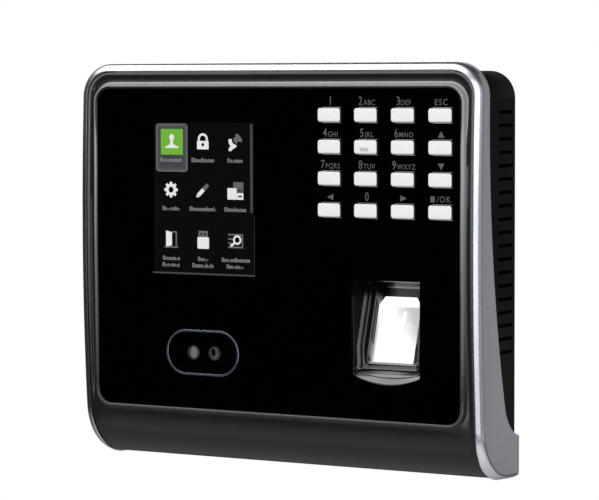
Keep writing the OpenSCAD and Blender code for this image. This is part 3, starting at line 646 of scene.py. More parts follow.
FINISHES = {
    "black_housing": (housing_finish,),
    "silver_paint": (lacquer, (0.42, 0.43, 0.47, 1), 0.3, 1.0),
    "bezel_grey": (bezel_finish,),
    "front_glass": (glass_black,),
    "black_print": (surface, grey(0.004), 0.4),
    "adhesive": (surface, grey(0.012), 0.8),
    "ring_metal": (lacquer, (0.20, 0.25, 0.32, 1), 0.3, 0.8),
    "inner_black": (surface, grey(0.02), 0.5, {"grain": 1600, "depth": 0.02}),
    "lens_glass": (surface, grey(0.03, 0.1), 0.08, {"depth": 0.0, "Coat_Weight": 0.6}),
    "circuit_board": (circuit,),
    "flex_amber": (surface, (0.36, 0.15, 0.025, 1), 0.3, {"Coat_Weight": 0.4}),
    "sheet_steel": (brushed, grey(0.5), 0.32),
    "screen": (lit, grey(0.0005), 0.002, 0.18),
    "reader_grey": (reader_finish,),
    "prism_glass": (window_finish,),
    "screw_steel": (brushed, grey(0.45), 0.3),
    "socket_ivory": (surface, (0.62, 0.58, 0.46, 1), 0.45),
    "cover_rubber": (surface, grey(0.012), 0.75, {"grain": 2000, "depth": 0.02}),
    "key_white": (key_finish,),
    "speaker_grey": (surface, grey(0.04), 0.6, {"grain": 2400, "depth": 0.05}),
    "wire_red": (surface, (0.35, 0.02, 0.02, 1), 0.45),
    "battery_blue": (surface, (0.02, 0.09, 0.3, 1), 0.3, {"Coat_Weight": 0.3}),
    "wire_black": (surface, grey(0.01), 0.45),
    "bracket_steel": (brushed, grey(0.5, 0.02), 0.35),
}
# Lit marks on the glass
LIGHTS = {
    "icon_white": (lit, grey(0.78)),
    "icon_grey": (lit, grey(0.11)),
    "caption": (lit, grey(0.3)),
    "tile": (tile_light,),
    "green": (lit, (0.14, 0.415, 0.022, 1)),
    "scroll": (lit, grey(0.032)),
    "border": (lit, grey(0.038)),
    "edge": (lit, grey(0.006)),
    "legend": (lit, (0.0782, 0.0833, 0.08925, 1)),
    # Painted reflections in the camera lenses
    "lens_ring": (lit, (0.1235, 0.13, 0.13, 1)),
    "lens_eye": (lit, grey(0.008)),
    "lens_dim": (lit, (0.04275, 0.045, 0.045, 1)),
    "eye_dim": (lit, grey(0.004)),
    "dash": (lit, grey(0.52)),
}


def made(finishes):
    """Materials by name from (function, values, options by name)."""
    result = {}
    for name, (function, *values) in finishes.items():
        options = values.pop() if values and isinstance(values[-1], dict) else {}
        result[name] = function(name, *values, **options)
    return result


MATERIALS = made(FINISHES)
MARKS = made(LIGHTS)


# ---------------------------------------------------------------- silver shell
# Direction that the rim's section has at each share of its length, in degrees from facing the front
RIM_TURNS = [(0.0, 13), (0.45, 24), (0.7, 42), (1.0, 90)]


def rim_inset(height):
    """How far the silver rim's inner edge lies in from the outer side."""
    return along(height, RIM_INSETS)


def rim_profile(inner):
    """Front part of the rim's section, as (inset, depth) from its inner edge out to the side."""
    steps = 20
    across, down, walk = 0.0, 0.0, [(0.0, 0.0)]
    for i in range(steps):
        t = (i + 0.5) / steps
        turn = next(mix(a1, a2, (t - t1) / (t2 - t1))
                    for (t1, a1), (t2, a2) in zip(RIM_TURNS, RIM_TURNS[1:]) if t <= t2)
        across += cos(radians(turn))
        down += sin(radians(turn))
        walk.append((across, down))
    reach = inner - 0.3
    curve = [(reach * (1 - a / across), RIM_ROUND * d / down) for a, d in walk]
    edge = [(inner, RIM_DEPTH), (inner, 0.5), (inner, 0.07), (inner - 0.02, 0.02), (inner - 0.07, 0.0)]
    return edge + curve


def rear_edge(wall):
    """Rounded rear edge of the silver side, as (inset, depth), for a wall of the given thickness."""
    return [(0, 0.4), (0.1, 0.12), (0.35, 0), (wall - 0.2, 0), (wall, 0.2)]


def cheek_section(side, run, rear):
    """Section of a silver cheek from the front at a run below the crown to a point of its rear edge."""
    height = CROWN_Z - run
    start = Vector(front(height))
    rear = Vector(rear)
    back = (rear - start).normalized()
    inward = (Vector(front(height, 1.0)) - start).normalized()
    lean = min(max((run - ROLL_RUN) / (WALL_RUN - ROLL_RUN), 0), 1)
    inward = inward.lerp(back, lean).normalized()

    def spot(origin, way, inset, depth):
        y, z = origin + way * depth
        return side * (HALF_W - inset), y, z

    points = [spot(start, inward, *step) for step in rim_profile(rim_inset(height))]
    points += [spot(rear, -back, *step) for step in rear_edge(SIDE_WALL)]
    return points + [spot(start, inward, SIDE_WALL, RIM_DEPTH)]


def arch_section(side, turn, x=None):
    """Section of the silver arch at a corner's turn from level, or along its top at x."""
    wall = mix(SIDE_WALL, TOP_WALL, turn / (pi / 2))

    def spot(inset):
        if x is not None:
            return x, TOP - inset
        reach = CORNER_R - inset
        return side * (HALF_W - CORNER_R + reach * cos(turn)), TOP - CORNER_R + reach * sin(turn)

    points = []
    for inset, depth in rim_profile(RIM_TOP_INSET):
        px, pz = spot(inset)
        points.append((px, front_y(pz) + depth, pz))
    for inset, depth in rear_edge(wall):
        px, pz = spot(inset)
        points.append((px, edge_y(pz) - depth, pz))
    px, pz = spot(wall)
    return points + [(px, front_y(pz) + RIM_DEPTH, pz)]


def cheek_sections(side, steps=32):
    """Sections of one cheek from the wall at its foot to the start of the top corner."""
    corner_z = TOP - CORNER_R
    corner_run = -CROWN_TOP_R * asin((corner_z - CROWN_Z) / CROWN_TOP_R)
    end_turn = acos(FLARE_CY / FLARE_R)
    flare_top = FLARE_CZ - FLARE_R * sin(EDGE_TURN)
    sections = []
    for i in range(steps):
        t = i / steps
        turn = mix(end_turn, EDGE_TURN, t)
        rear = (FLARE_CY - FLARE_R * cos(turn), FLARE_CZ - FLARE_R * sin(turn))
        sections.append(cheek_section(side, mix(WALL_RUN, CHIN_RUN, t), rear))
    for i in range(steps + 1):
        t = i / steps
        z = mix(flare_top, corner_z, t)
        sections.append(cheek_section(side, mix(CHIN_RUN, corner_run, t), (edge_y(z), z)))
    return sections


def silver_shell():
    """Silver arch: a swept section up one cheek, over the top and down the other."""
    right, left = cheek_sections(1), cheek_sections(-1)
    turns = [pi / 2 * i / 16 for i in range(1, 17)]
    reach = HALF_W - CORNER_R
    sections = right + [arch_section(1, t) for t in turns]
    sections += [arch_section(1, pi / 2, reach * (1 - i / 12)) for i in range(1, 24)]
    sections += [arch_section(-1, t) for t in reversed(turns)] + left[::-1]
    mesh = finish_mesh("silver_arch", *loft(sections)[:2], sharp=40)
    return piece("silver_arch", mesh, "silver_paint", stands_for=["silver_shell"])


# ---------------------------------------------------------------- bezel and chin
BAND = 5.0
BEZEL_BACK = 2.8
BEAD_RISE = 0.45
RIM_DROP = 0.45
GROOVE = 0.8
BEAD_W = 2.1
RIDGE_W = 1.4
MERGE = (-58, -40)
CHIN_BLEND = 12.0
LIP_R = 0.4


def from_glass(x, height):
    """Distance out from the edge of the glass opening, less than 0 inside it."""
    dx = abs(x) - (OPENING_HALF_W - OPENING_R)
    dz = abs(height - GLASS_MID) - (OPENING_HALF_H - OPENING_R)
    return hypot(max(dx, 0), max(dz, 0)) + min(max(dx, dz), 0) - OPENING_R


def bezel_side(height):
    return HALF_W - rim_inset(height) - SEAM


def from_rim(x, height):
    """Distance in from the silver rim's inner edge."""
    top = TOP - RIM_TOP_INSET - SEAM
    radius = CORNER_R - RIM_TOP_INSET - SEAM
    dx, dz = abs(x) - (bezel_side(height) - radius), height - (top - radius)
    if dx > 0 and dz > 0:
        return radius - hypot(dx, dz)
    return min(bezel_side(height) - abs(x), top - height)


def lip(distance):
    """Drop of a rounded edge at a distance from it."""
    left = max(LIP_R - distance, 0) / LIP_R
    return LIP_R * (1 - sqrt(max(1 - left ** 2, 0)))


def bezel_depth(x, height):
    """Depth of the bezel's face behind the front: a bead, a groove and a ridge that merge in the chin."""
    q, p = from_glass(x, height), max(from_rim(x, height), 0)
    bead = min(0.1, GLASS_FACE - BEAD_RISE - front(height)[0])
    groove = max(bead, RIM_DROP) + GROOVE
    if q < BEAD_W:
        relief = mix(bead, groove, smooth_step(1.2, BEAD_W, q))
    elif p < RIDGE_W:
        relief = mix(RIM_DROP, groove, smooth_step(0.75, RIDGE_W, p))
    else:
        relief = groove
    flush = mix(bead, RIM_DROP, smooth_step(0, min(q + p, CHIN_BLEND), q))
    return mix(flush, relief, smooth_step(*MERGE, height)) + lip(max(q, 0)) + lip(p)


def bezel_point(x, height, depth=None):
    y, z = front(height, bezel_depth(x, height) if depth is None else depth)
    return x, y, z


def ring_stations():
    """Pairs of points on the opening and on the band's outer edge, anticlockwise from the foot's middle."""
    low, high = GLASS_MID - OPENING_HALF_H, GLASS_MID + OPENING_HALF_H
    reach, base, crest = OPENING_HALF_W - OPENING_R, low + OPENING_R, high - OPENING_R
    foot = low - BAND
    outer_top = TOP - RIM_TOP_INSET - SEAM
    outer_r = CORNER_R - RIM_TOP_INSET - SEAM
    outer_reach, outer_crest = bezel_side(outer_top) - outer_r, outer_top - outer_r
    inner = [(0, low)] + line((0, low), (reach, low), 18) + arc(reach, base, OPENING_R, -90, 0, 16)
    inner += line((OPENING_HALF_W, base), (OPENING_HALF_W, crest), 40)
    inner += arc(reach, crest, OPENING_R, 0, 90, 16) + line((reach, high), (0, high), 18)
    outer = [(0, foot)] + line((0, foot), (reach, foot), 18)
    outer += [(bezel_side(foot) - short, foot) for short in (3.4, 2.2, 1.4, 0.9, 0.55, 0.3, 0.12, 0)]
    heights = line((0, foot), (0, base), 8) + line((0, base), (0, outer_crest), 40)
    outer += [(bezel_side(height), height) for _, height in heights]
    outer += arc(outer_reach, outer_crest, outer_r, 0, 90, 16)
    outer += line((outer_reach, outer_top), (0, outer_top), 18)
    half = list(zip(inner, outer))
    return half + [((-a[0], a[1]), (-b[0], b[1])) for a, b in half[-2:0:-1]]


def bezel():
    """Frame round the glass in one piece with the chin, as a closed shell."""
    near = [0, 0.05, 0.12, 0.22, 0.4, 0.8, 1.2, 1.4, 1.6, 1.8, 2.0, 2.1]
    far = [1.4, 1.25, 1.1, 0.95, 0.75, 0.55, 0.4, 0.22, 0.12, 0.05, 0]
    stations = ring_stations()
    rows = []
    for inner, outer in stations:
        a, b = Vector(inner), Vector(outer)
        length = (b - a).length
        way = (b - a) / length
        rows.append([a + way * s for s in near] + [a + way * (length - s) for s in far])
    flat_points = [tuple(p) for row in rows for p in row]
    size, count = len(rows[0]), len(rows)
    faces = []
    for i in range(count):
        faces += quads(i * size, (i + 1) % count * size, size, closed=False)
    foot = GLASS_MID - OPENING_HALF_H - BAND
    corner = next(i for i, (_, outer) in enumerate(stations) if abs(outer[0] - bezel_side(foot)) < 1e-6)
    columns = [stations[i][1][0] / bezel_side(foot) for i in range(corner + 1)]
    columns = [-c for c in columns[:0:-1]] + columns
    margin = {c: (1 - abs(c)) * bezel_side(foot) for c in columns}
    end = CROWN_Z - CHIN_RUN - CHIN_R * (acos((CHIN_CY - BEZEL_HIGH[1]) / CHIN_R) - CHIN_TURN)
    steps = 34
    for j in range(steps + 1):
        height = mix(foot, end, j / steps)
        side = bezel_side(height)
        for c in columns:
            edge = margin[c]
            x = c * side if edge > 4 else (side - edge) * (1 if c > 0 else -1)
            flat_points.append((x, height))
    base, width = size * count, len(columns)
    for j in range(steps):
        faces += quads(base + j * width, base + (j + 1) * width, width, closed=False)
    points = [bezel_point(x, h) for x, h in flat_points]
    work = bmesh.new()
    front_verts = [work.verts.new([v * MM for v in p]) for p in points]
    under = {}
    for vert, (x, h) in zip(front_verts, flat_points):
        under[vert] = [v * MM for v in bezel_point(x, h, BEZEL_BACK)]
    for face in faces:
        work.faces.new([front_verts[i] for i in face])
    bmesh.ops.remove_doubles(work, verts=work.verts, dist=4e-6)
    bmesh.ops.recalc_face_normals(work, faces=work.faces)
    for face in work.faces:
        face.smooth = True
    rim_edges = [e for e in work.edges if len(e.link_faces) == 1]
    copies = {v: work.verts.new(under[v]) for v in list(work.verts)}
    back = [[copies[v] for v in reversed(f.verts)] for f in list(work.faces)]
    for verts in back:
        work.faces.new(verts).smooth = True
    for edge in rim_edges:
        a, b = edge.verts
        work.faces.new([a, b, copies[b], copies[a]]).smooth = True
    bmesh.ops.recalc_face_normals(work, faces=work.faces)
    mesh = bpy.data.meshes.new("bezel_and_chin")
    work.to_mesh(mesh)
    work.free()
    mesh.set_sharp_from_angle(angle=radians(50))
    return piece("bezel_and_chin", mesh, "bezel_grey", stands_for=["front_bezel"])


# ---------------------------------------------------------------- front glass
KEY_NAMES = ["key_" + sign for sign in "1 2 3 escape 4 5 6 up 7 8 9 down left 0 right menu".split()]
KEY_PLAY = 0.2
KEY_R = 0.9
KEY_W = 9.4
KEY_H = 5.2


def finger_loop(steps=20):
    """Outline of the finger opening: straight sides and a bowed lower edge."""
    half = FINGER_W / 2
    spread = asin(half / FINGER_ARC_R)
    turns = [mix(-spread, spread, i / steps) for i in range(steps + 1)]
    centre_z = FINGER_LOW_SAG + FINGER_ARC_R
    loop = [(FINGER_X + FINGER_ARC_R * sin(a), centre_z - FINGER_ARC_R * cos(a)) for a in turns]
    return loop + [(FINGER_X + half, FINGER_TOP), (FINGER_X - half, FINGER_TOP)]


def front_glass():
    """Black glass with a polished edge, the key holes and the finger opening."""
    outline = rounded_loop(0, GLASS_MID, 2 * GLASS_HALF_W, 2 * GLASS_HALF_H, GLASS_CORNER, 10)
    holes = [rounded_loop(*centre_mm(k), KEY_W + 2 * KEY_PLAY, KEY_H + 2 * KEY_PLAY, KEY_R + KEY_PLAY, 5)
             for k in KEY_NAMES]
    holes.append(finger_loop())
    mesh = finish_mesh("front_pane", *plate([outline] + holes, GLASS_FACE, GLASS_BACK, edge=0.18))
    return piece("front_pane", mesh, "front_glass", stands_for=["front_glass"])


# ---------------------------------------------------------------- keys
def key_cap(name):
    """One key: crowned cap with a soft lower edge, flange and stem."""
    x, z = centre_mm(name)
    low, high = box_mm(name)
    flange_y = GLASS_BACK + 0.3
    face = GLASS_FACE - 1.2
    rings = []

    def ring(w, h, r, y, shift=0.0):
        rings.append([(px, y, pz) for px, pz in rounded_loop(x, z + shift, w, h, r, 5)])

    stem = (2.4, 2.4, 1.19)
    flange = (high[0] - low[0], high[2] - low[2], 0.3)
    ring(*stem, high[1])
    ring(*stem, flange_y + 0.8)
    ring(*flange, flange_y + 0.8)
    ring(*flange, flange_y)
    ring(KEY_W, KEY_H, KEY_R, flange_y)
    ring(KEY_W, KEY_H, KEY_R, face + 0.75)
    for i in range(1, 7):
        a = pi / 2 * i / 6
        side, lower = 0.35 * (1 - cos(a)), 1.05 * (1 - cos(a))
        ring(KEY_W - 2 * side, KEY_H - side - lower, KEY_R, face + 0.75 - 0.6 * sin(a), (lower - side) / 2)
    for share in (0.75, 0.5, 0.25, 0.08):
        ring((KEY_W - 0.7) * share, (KEY_H - 1.4) * share, KEY_R * share,
             face + 0.15 - 0.13 * (1 - share * share), 0.35)
    points, faces, flat = loft(rings)
    if name == "key_5":
        dash = finish_mesh("dash_" + name, *plate([rounded_loop(x - 0.4, z - 0.85, 3.6, 1.3, 0.5, 4)],
                                                  face - 0.03, face + 0.3, edge=0.06))
        piece("dash_" + name, dash, "key_white", "dash", body=name)
    mesh = finish_mesh("cap_" + name, points, faces, flat)
    return piece("cap_" + name, mesh, "key_white", body=name, stands_for=[name])


# ---------------------------------------------------------------- print and lit marks on the glass
FILM = 0.03
SUNK = 0.02


def decal(name, shapes, slot, mark=None, lift=FILM):
    """Thin marks on the glass: each shape is a list of loops, its outline first and then its holes."""
    parts = [plate(loops, GLASS_FACE - lift, GLASS_FACE + SUNK) for loops in shapes]
    return piece(name, finish_mesh(name, *join(parts), weld=False), slot, mark)


def bar(x0, z0, x1, z1, r=0.0):
    if r:
        return rounded_loop((x0 + x1) / 2, (z0 + z1) / 2, x1 - x0, z1 - z0, r, 4)
    return [(x0, z0), (x1, z0), (x1, z1), (x0, z1)]


def stroke(x0, z0, x1, z1, w0, w1):
    """Tapered bar between two points."""
    way = Vector((x1 - x0, z1 - z0)).normalized()
    side = Vector((-way.y, way.x))
    return [(x0 - side.x * w0 / 2, z0 - side.y * w0 / 2), (x1 - side.x * w1 / 2, z1 - side.y * w1 / 2),
            (x1 + side.x * w1 / 2, z1 + side.y * w1 / 2), (x0 + side.x * w0 / 2, z0 + side.y * w0 / 2)]


def moved(shapes, x, z):
    return [[[(px + x, pz + z) for px, pz in loop] for loop in loops] for loops in shapes]


def half_ring(z, outer, inner, legs, steps=12):
    """Arch of a shackle: half a ring on two straight legs."""
    out = [(outer * cos(pi * i / steps), z + outer * sin(pi * i / steps)) for i in range(steps + 1)]
    back = [(inner * cos(pi * i / steps), z + inner * sin(pi * i / steps)) for i in range(steps, -1, -1)]
    return [(outer, z - legs)] + out + [(-outer, z - legs), (-inner, z - legs)] + back + [(inner, z - legs)]


def gear_loop(teeth=8, root=2.2, tip=2.95):
    loop = []
    for i in range(teeth):
        a = 2 * pi * i / teeth + pi / 2
        for da, r in ((-0.27, root), (-0.17, tip), (0.17, tip), (0.27, root)):
            loop.append((r * cos(a + da), r * sin(a + da)))
    return loop


USER_ICON = [[circle_loop(0, 1.3, 1.05, 20, 1.15)], [[(-0.55, 0.3), (-0.7, -1.6), (0.7, -1.6), (0.55, 0.3)]],
             [[(-2.1, -1.9), (-1.0, -1.35), (1.0, -1.35), (2.1, -1.9), (2.8, -2.0), (2.8, -2.6), (-2.8, -2.6),
               (-2.8, -2.0)][::-1]]]
LOCK_ICON = [[bar(-2.5, -2.7, 2.5, 0.4, 0.2), circle_loop(0, -1.0, 0.62, 14)],
             [half_ring(1.05, 2.15, 1.3, 0.62)]]
DISH_WHITE = [[[(-2.9, 1.0), (-1.7, 1.3), (-1.1, -0.4), (0.7, -1.2), (0.2, -1.9), (-1.2, -2.6), (-1.7, -3.2),
                (-2.9, -3.2), (-2.7, -2.2), (-2.0, -1.5), (-2.8, -0.2)][::-1]]]
DISH_GREY = [[[(-0.6, 0.4), (-0.9, 1.4), (0.2, 2.1), (0.1, 3.1), (1.0, 3.0), (2.0, 2.3), (2.8, 1.2),
               (3.0, 0.0), (2.0, 0.3), (1.0, 0.2), (0.5, -0.7)][::-1]]]
GEAR_ICON = [[gear_loop(), circle_loop(0, 0, 1.1, 18)]]
PEN_WHITE = [[[(-2.9, -2.7), (-2.6, -1.3), (-1.4, -2.4)][::-1]],
             [stroke(-1.9, -1.75, 0.2, 0.25, 1.5, 1.5)]]
PEN_GREY = [[stroke(0.35, 0.4, 2.1, 2.05, 1.5, 1.5)]]
TABLE_ICON = [[bar(-3.4, -3.2, 0.5, 1.0, 0.1)],
              [bar(0.6, -3.2, 3.4, -0.8, 0.1), bar(1.2, -2.3, 2.7, -1.7)[::-1]]]
BUILDING = [[bar(-0.9, 1.1, 3.4, 3.2, 0.1)], [bar(0.6, -0.7, 3.4, 1.0, 0.1), bar(1.2, -0.2, 2.0, 0.5)[::-1],
                                              bar(2.3, -0.2, 2.9, 0.5)[::-1]]]
DOOR_WHITE = [[[(-2.3, -3.0), (0.3, -2.4), (0.3, 2.5), (-2.3, 3.0)]]]
DOOR_GREY = [[bar(1.9, -2.7, 2.5, 2.9)], [bar(0.35, 2.3, 1.9, 2.9)], [bar(-3.0, -3.3, 3.0, -2.75)]]
STICK_WHITE = [[bar(-2.5, -3.3, 2.5, 1.0, 0.5)]]
STICK_GREY = [[bar(-2.0, 1.05, 2.0, 3.3, 0.2), bar(-1.2, 1.7, -0.5, 2.5)[::-1],
               bar(0.5, 1.7, 1.2, 2.5)[::-1]]]
LIST_GREY = [[bar(-3.2, 1.9, 3.2, 2.5)], [bar(-3.2, 0.3, -1.1, 0.9)], [bar(-3.2, -1.2, -1.5, -0.6)],
             [bar(-3.2, -2.7, 3.2, -2.1)], [bar(2.6, -2.1, 3.2, 1.9)]]
LENS_ICON = [[circle_loop(0.7, 0.3, 1.75, 20), circle_loop(0.7, 0.3, 1.05, 20)],
             [stroke(-0.6, -0.95, -2.1, -2.05, 0.7, 1.0)]]

# Columns and rows of the menu, then each icon with its column and row
ICON_X = [-43.4, -29.5, -15.6]
ICON_Z = [45.7, 28.0, 9.8]
WHITE_ICONS = [(LOCK_ICON, 1, 0), (DISH_WHITE, 2, 0), (GEAR_ICON, 0, 1), (PEN_WHITE, 1, 1),
               (TABLE_ICON, 2, 1), (DOOR_WHITE, 0, 2), (STICK_WHITE, 1, 2), (LENS_ICON, 2, 2)]
GREY_ICONS = [(DISH_GREY, 2, 0), (PEN_GREY, 1, 1), (BUILDING, 2, 1), (DOOR_GREY, 0, 2), (STICK_GREY, 1, 2),
              (LIST_GREY, 2, 2)]
# Captions: column, height and width
CAPTIONS = [(0, 39.0, 9.2), (1, 39.0, 9.8), (2, 39.0, 6.7), (0, 21.1, 7.6), (1, 21.1, 11.7), (2, 21.1, 9.4),
            (0, 2.7, 7.4), (0, 0.3, 7.9), (1, 2.7, 4.5), (1, 0.3, 9.4), (2, 2.7, 11.9), (2, 0.3, 7.6)]
# Shapes that stand for letters, each with the step to the next one: four low ones, then three capitals
GLYPHS = [
    (0.96, [[rounded_loop(0.36, -0.2, 0.72, 1.1, 0.32, 3),
             rounded_loop(0.36, -0.2, 0.38, 0.74, 0.17, 2)[::-1]]]),
    (0.92, [[bar(0, -0.75, 0.18, 0.35)], [bar(0.5, -0.75, 0.68, 0.2)], [bar(0.18, 0.17, 0.5, 0.35)]]),
    (0.42, [[bar(0, -0.75, 0.18, 0.85)]]),
    (0.82, [[bar(0, -0.2, 0.6, -0.03)], [bar(0.1, -0.75, 0.5, -0.6)]]),
    (1.1, [[bar(0, -0.75, 0.2, 0.85)], [bar(0.62, -0.75, 0.82, 0.85)]]),
    (1.15, [[rounded_loop(0.45, 0.05, 0.9, 1.6, 0.4, 3), rounded_loop(0.45, 0.05, 0.5, 1.2, 0.22, 2)[::-1]]]),
    (1.05, [[stroke(0, -0.75, 0.4, 0.85, 0.2, 0.2)], [stroke(0.8, -0.75, 0.42, 0.85, 0.2, 0.2)]]),
]


def caption_strokes(x, z, width, chance):
    """Row of strokes that stands for a caption: a capital, then stems, rings and short marks on one line."""
    shapes, at, end = [], x - width / 2, x + width / 2
    while at < end - 0.3:
        step, glyph = GLYPHS[chance.choice([0, 0, 1, 1, 2, 3] if shapes else [4, 5, 6])]
        shapes += moved(glyph, at, z)
        at += step
    return shapes


def screen():
    """Lit display behind the glass: menu tiles, icons, captions and the scroll bar."""
    low, high = -50.9, -7.7
    chance = random.Random(4)
    captions = [shape for c, z, width in CAPTIONS for shape in caption_strokes(ICON_X[c], z, width, chance)]
    white, dim = [[shape for icon, c, r in icons for shape in moved(icon, ICON_X[c], ICON_Z[r])]
                  for icons in (WHITE_ICONS, GREY_ICONS)]
    tile = rounded_loop(TILE_X, TILE_Z, TILE_W, TILE_H, 1.2, 6)
    for name, shapes, mark, lift in [
            ("field", [[bar(low, -2.7, high, 52.9)]], None, 0.01),
            ("captions", captions, "caption", FILM),
            ("icons", white, "icon_white", FILM),
            ("icons_dim", dim, "icon_grey", FILM),
            ("tile", [[tile]], "tile", 0.018),
            ("tile_square", [[bar(-47.8, 40.9, -38.15, 50.4)]], "green", 0.026),
            ("tile_icon", moved(USER_ICON, -43.0, 46.0), "icon_white", 0.034),
            ("scroll", [[bar(-9.3, 20.1, -8.2, 52.4, 0.3)]], "scroll", 0.02),
            ("border", [[bar(low - 0.6, -3.1, high + 0.3, -2.5)]], "border", 0.02),
            ("edge", [[bar(high, -2.4, high + 0.2, 19)]], "edge", 0.02)]:
        decal("screen_" + name, shapes, "screen", mark, lift)


# ---------------------------------------------------------------- keypad legends
DIGIT_H = 3.15
LETTER_H = 1.95
WORD_H = 2.25
CAPITAL_H = 0.73
RUN_GAP = 0.45
LETTERS = {"2": "ABC", "3": "DEF", "4": "GHI", "5": "JKL", "6": "MNO", "7": "PQRS", "8": "TUV", "9": "WXYZ"}
ARROWS = {"up": (0, 1), "down": (0, -1), "left": (-1, 0), "right": (1, 0)}


def lettering(text, height, squeeze, spacing):
    """Flat letters as (points, faces), from x = 0 on a baseline at z = 0, and their width."""
    curve = bpy.data.curves.new("letters", "FONT")
    curve.body = text
    curve.size = 1.0
    curve.space_character = spacing
    curve.extrude = 0.5
    curve.offset = 0.004
    curve.resolution_u = 4
    obj = placed("letters", curve)
    bpy.context.view_layer.update()
    mesh = bpy.data.meshes.new_from_object(obj)
    scale = height / CAPITAL_H
    points = [(v.co.x * scale * squeeze, v.co.z, v.co.y * scale) for v in mesh.vertices]
    faces = [list(p.vertices) for p in mesh.polygons]
    bpy.data.objects.remove(obj)
    bpy.data.curves.remove(curve)
    bpy.data.meshes.remove(mesh)
    low = min(p[0] for p in points)
    points = [(x - low, y, z) for x, y, z in points]
    return points, faces, max(p[0] for p in points)


def on_glass(points, faces, x, z):
    """Letters moved to a place on the glass and pressed to the thickness of the print."""
    middle = GLASS_FACE - (FILM - SUNK) / 2
    points = [(px + x, middle + py * (FILM + SUNK), pz + z) for px, py, pz in points]
    return points, faces, list(range(len(faces)))


def legends():
    """Digits, letters and arrows above the keys."""
    parts = []

    def write(run, centre, baseline):
        """Places (text, height, squeeze, spacing) one after another about a centre."""
        words = [lettering(*word) for word in run]
        at = centre - (sum(width for *_, width in words) + RUN_GAP * (len(words) - 1)) / 2
        for points, faces, width in words:
            parts.append(on_glass(points, faces, at, baseline))
            at += width + RUN_GAP

    def mark(loop):
        parts.append(plate([loop], GLASS_FACE - FILM, GLASS_FACE + SUNK))

    for name in KEY_NAMES:
        x, z = centre_mm(name)
        base = z + KEY_H / 2 + 0.95
        sign = name.removeprefix("key_")
        if sign.isdigit():
            letters = [(LETTERS[sign], LETTER_H, 0.86, 1.12)] if sign in LETTERS else []
            write([(sign, DIGIT_H, 0.78, 1.0)] + letters, x + 0.1, base)
        elif sign == "escape":
            write([("ESC", WORD_H, 0.88, 1.25)], x, base)
        elif sign == "menu":
            write([("/OK", WORD_H, 0.88, 1.25)], x + 1.0, base)
            mark(bar(x - 4.2, base, x - 2.5, base + WORD_H - 0.2))
        else:
            across, up = ARROWS[sign]
            mid = base + 1.1
            tip = (x + across * 1.3, mid + up * 1.15)
            a = (x - across * 1.3 + up * 1.3, mid - up * 1.15 - across * 1.1)
            b = (x - across * 1.3 - up * 1.3, mid - up * 1.15 + across * 1.1)
            mark([b, a, tip])
    piece("key_legends", finish_mesh("key_legends", *join(parts)), "front_glass", "legend")


# ---------------------------------------------------------------- camera window
def ring_and_lenses():
    """Metal line round the camera window, and the two lenses behind the glass, drawn as faintly glowing marks
    that are painted reflections.
    """
    low, high = box_mm("camera_ring")
    w, h = high[0] - low[0], high[2] - low[2]
    line_w = 0.74
    half = [(0, -0.05), (0, 0.04), (0.12, 0.1), (0.28, 0.12)]
    rings = []
    for inset, rise in half + [(line_w - inset, rise) for inset, rise in half[::-1]]:
        loop = rounded_loop(*centre_mm("camera_ring"), w - 2 * inset, h - 2 * inset, h / 2 - inset, 16)
        rings.append([(x, GLASS_FACE - rise, z) for x, z in loop])
    mesh = finish_mesh("camera_line", *loft(rings, closed=True))
    piece("camera_line", mesh, "ring_metal", stands_for=["camera_ring"])
    # The lenses are marks that glow faintly: a painted reflection in their rings and eyes, not light of their
    # own.
    for side, glint_mark, halo_mark in (("left", "lens_ring", "lens_eye"), ("right", "lens_dim", "eye_dim")):
        node = "camera_lens_" + side
        low, high = box_mm(node)
        (cx, cz), r = centre_mm(node), (high[0] - low[0]) / 2
        glow = [(cx + (x - cx) * 0.72, z) for x, z in circle_loop(cx, cz, r * 0.8, 32)]
        eye = [((x - cx) * 0.62 + cx - r * 0.2, z + r * 0.14) for x, z in circle_loop(cx, cz, r * 0.52, 28)]
        shape = [glow, eye[::-1]] if side == "right" else [glow]
        decal("lens_glint_" + side, [shape], "lens_glass", glint_mark, 0.015)
        halo = [circle_loop(cx - r * 0.05, cz, r * 0.98, 32), glow[::-1]]
        decal("lens_halo_" + side, [halo], "lens_glass", halo_mark, 0.015)


# ---------------------------------------------------------------- fingerprint reader
def window_y(z):
    """Depth of the slanted window's face at a height."""
    return WINDOW_Y + (z - WINDOW_LOW) * WINDOW_TILT


def well_ring(half_w, low, high, radius, bow=0.0, cut=None, depth=None, rise=(0.0, 0.0), steps=6):
    """Loop round the well, at one depth or on the window's slope, with a bowed lower edge.

    Rise is how far it stands off the slope at its lower and upper end. Cut is the width and height of
    its upper corners, which are round without it.
    """
    x0, x1 = FINGER_X - half_w, FINGER_X + half_w
    cut_w, cut_h = cut or (radius, radius)
    base = low + radius
    bows = [i / 12 - 1 for i in range(25)]
    loop = [(FINGER_X + t * (half_w - radius), low - bow * (1 - t * t)) for t in bows]
    loop += arc(x1 - radius, base, radius, -90, 0, steps) + line((x1, base), (x1, high - cut_h), 12)
    loop += (line((x1, high - cut_h), (x1 - cut_w, high), steps) if cut
             else arc(x1 - radius, high - radius, radius, 0, 90, steps))
    loop += line((x1 - cut_w, high), (x0 + cut_w, high), 12)
    loop += (line((x0 + cut_w, high), (x0, high - cut_h), steps) if cut
             else arc(x0 + radius, high - radius, radius, 90, 180, steps))
    loop += line((x0, high - cut_h), (x0, base), 12) + arc(x0 + radius, base, radius, 180, 270, steps)[:-1]
    if depth is not None:
        return [(x, depth, z) for x, z in loop]
    slope = [window_y(z) - mix(*rise, smooth_step(-34, -26, z)) for _, z in loop]
    return [(x, max(y, WELL_NEAREST), z) for (x, z), y in zip(loop, slope)]


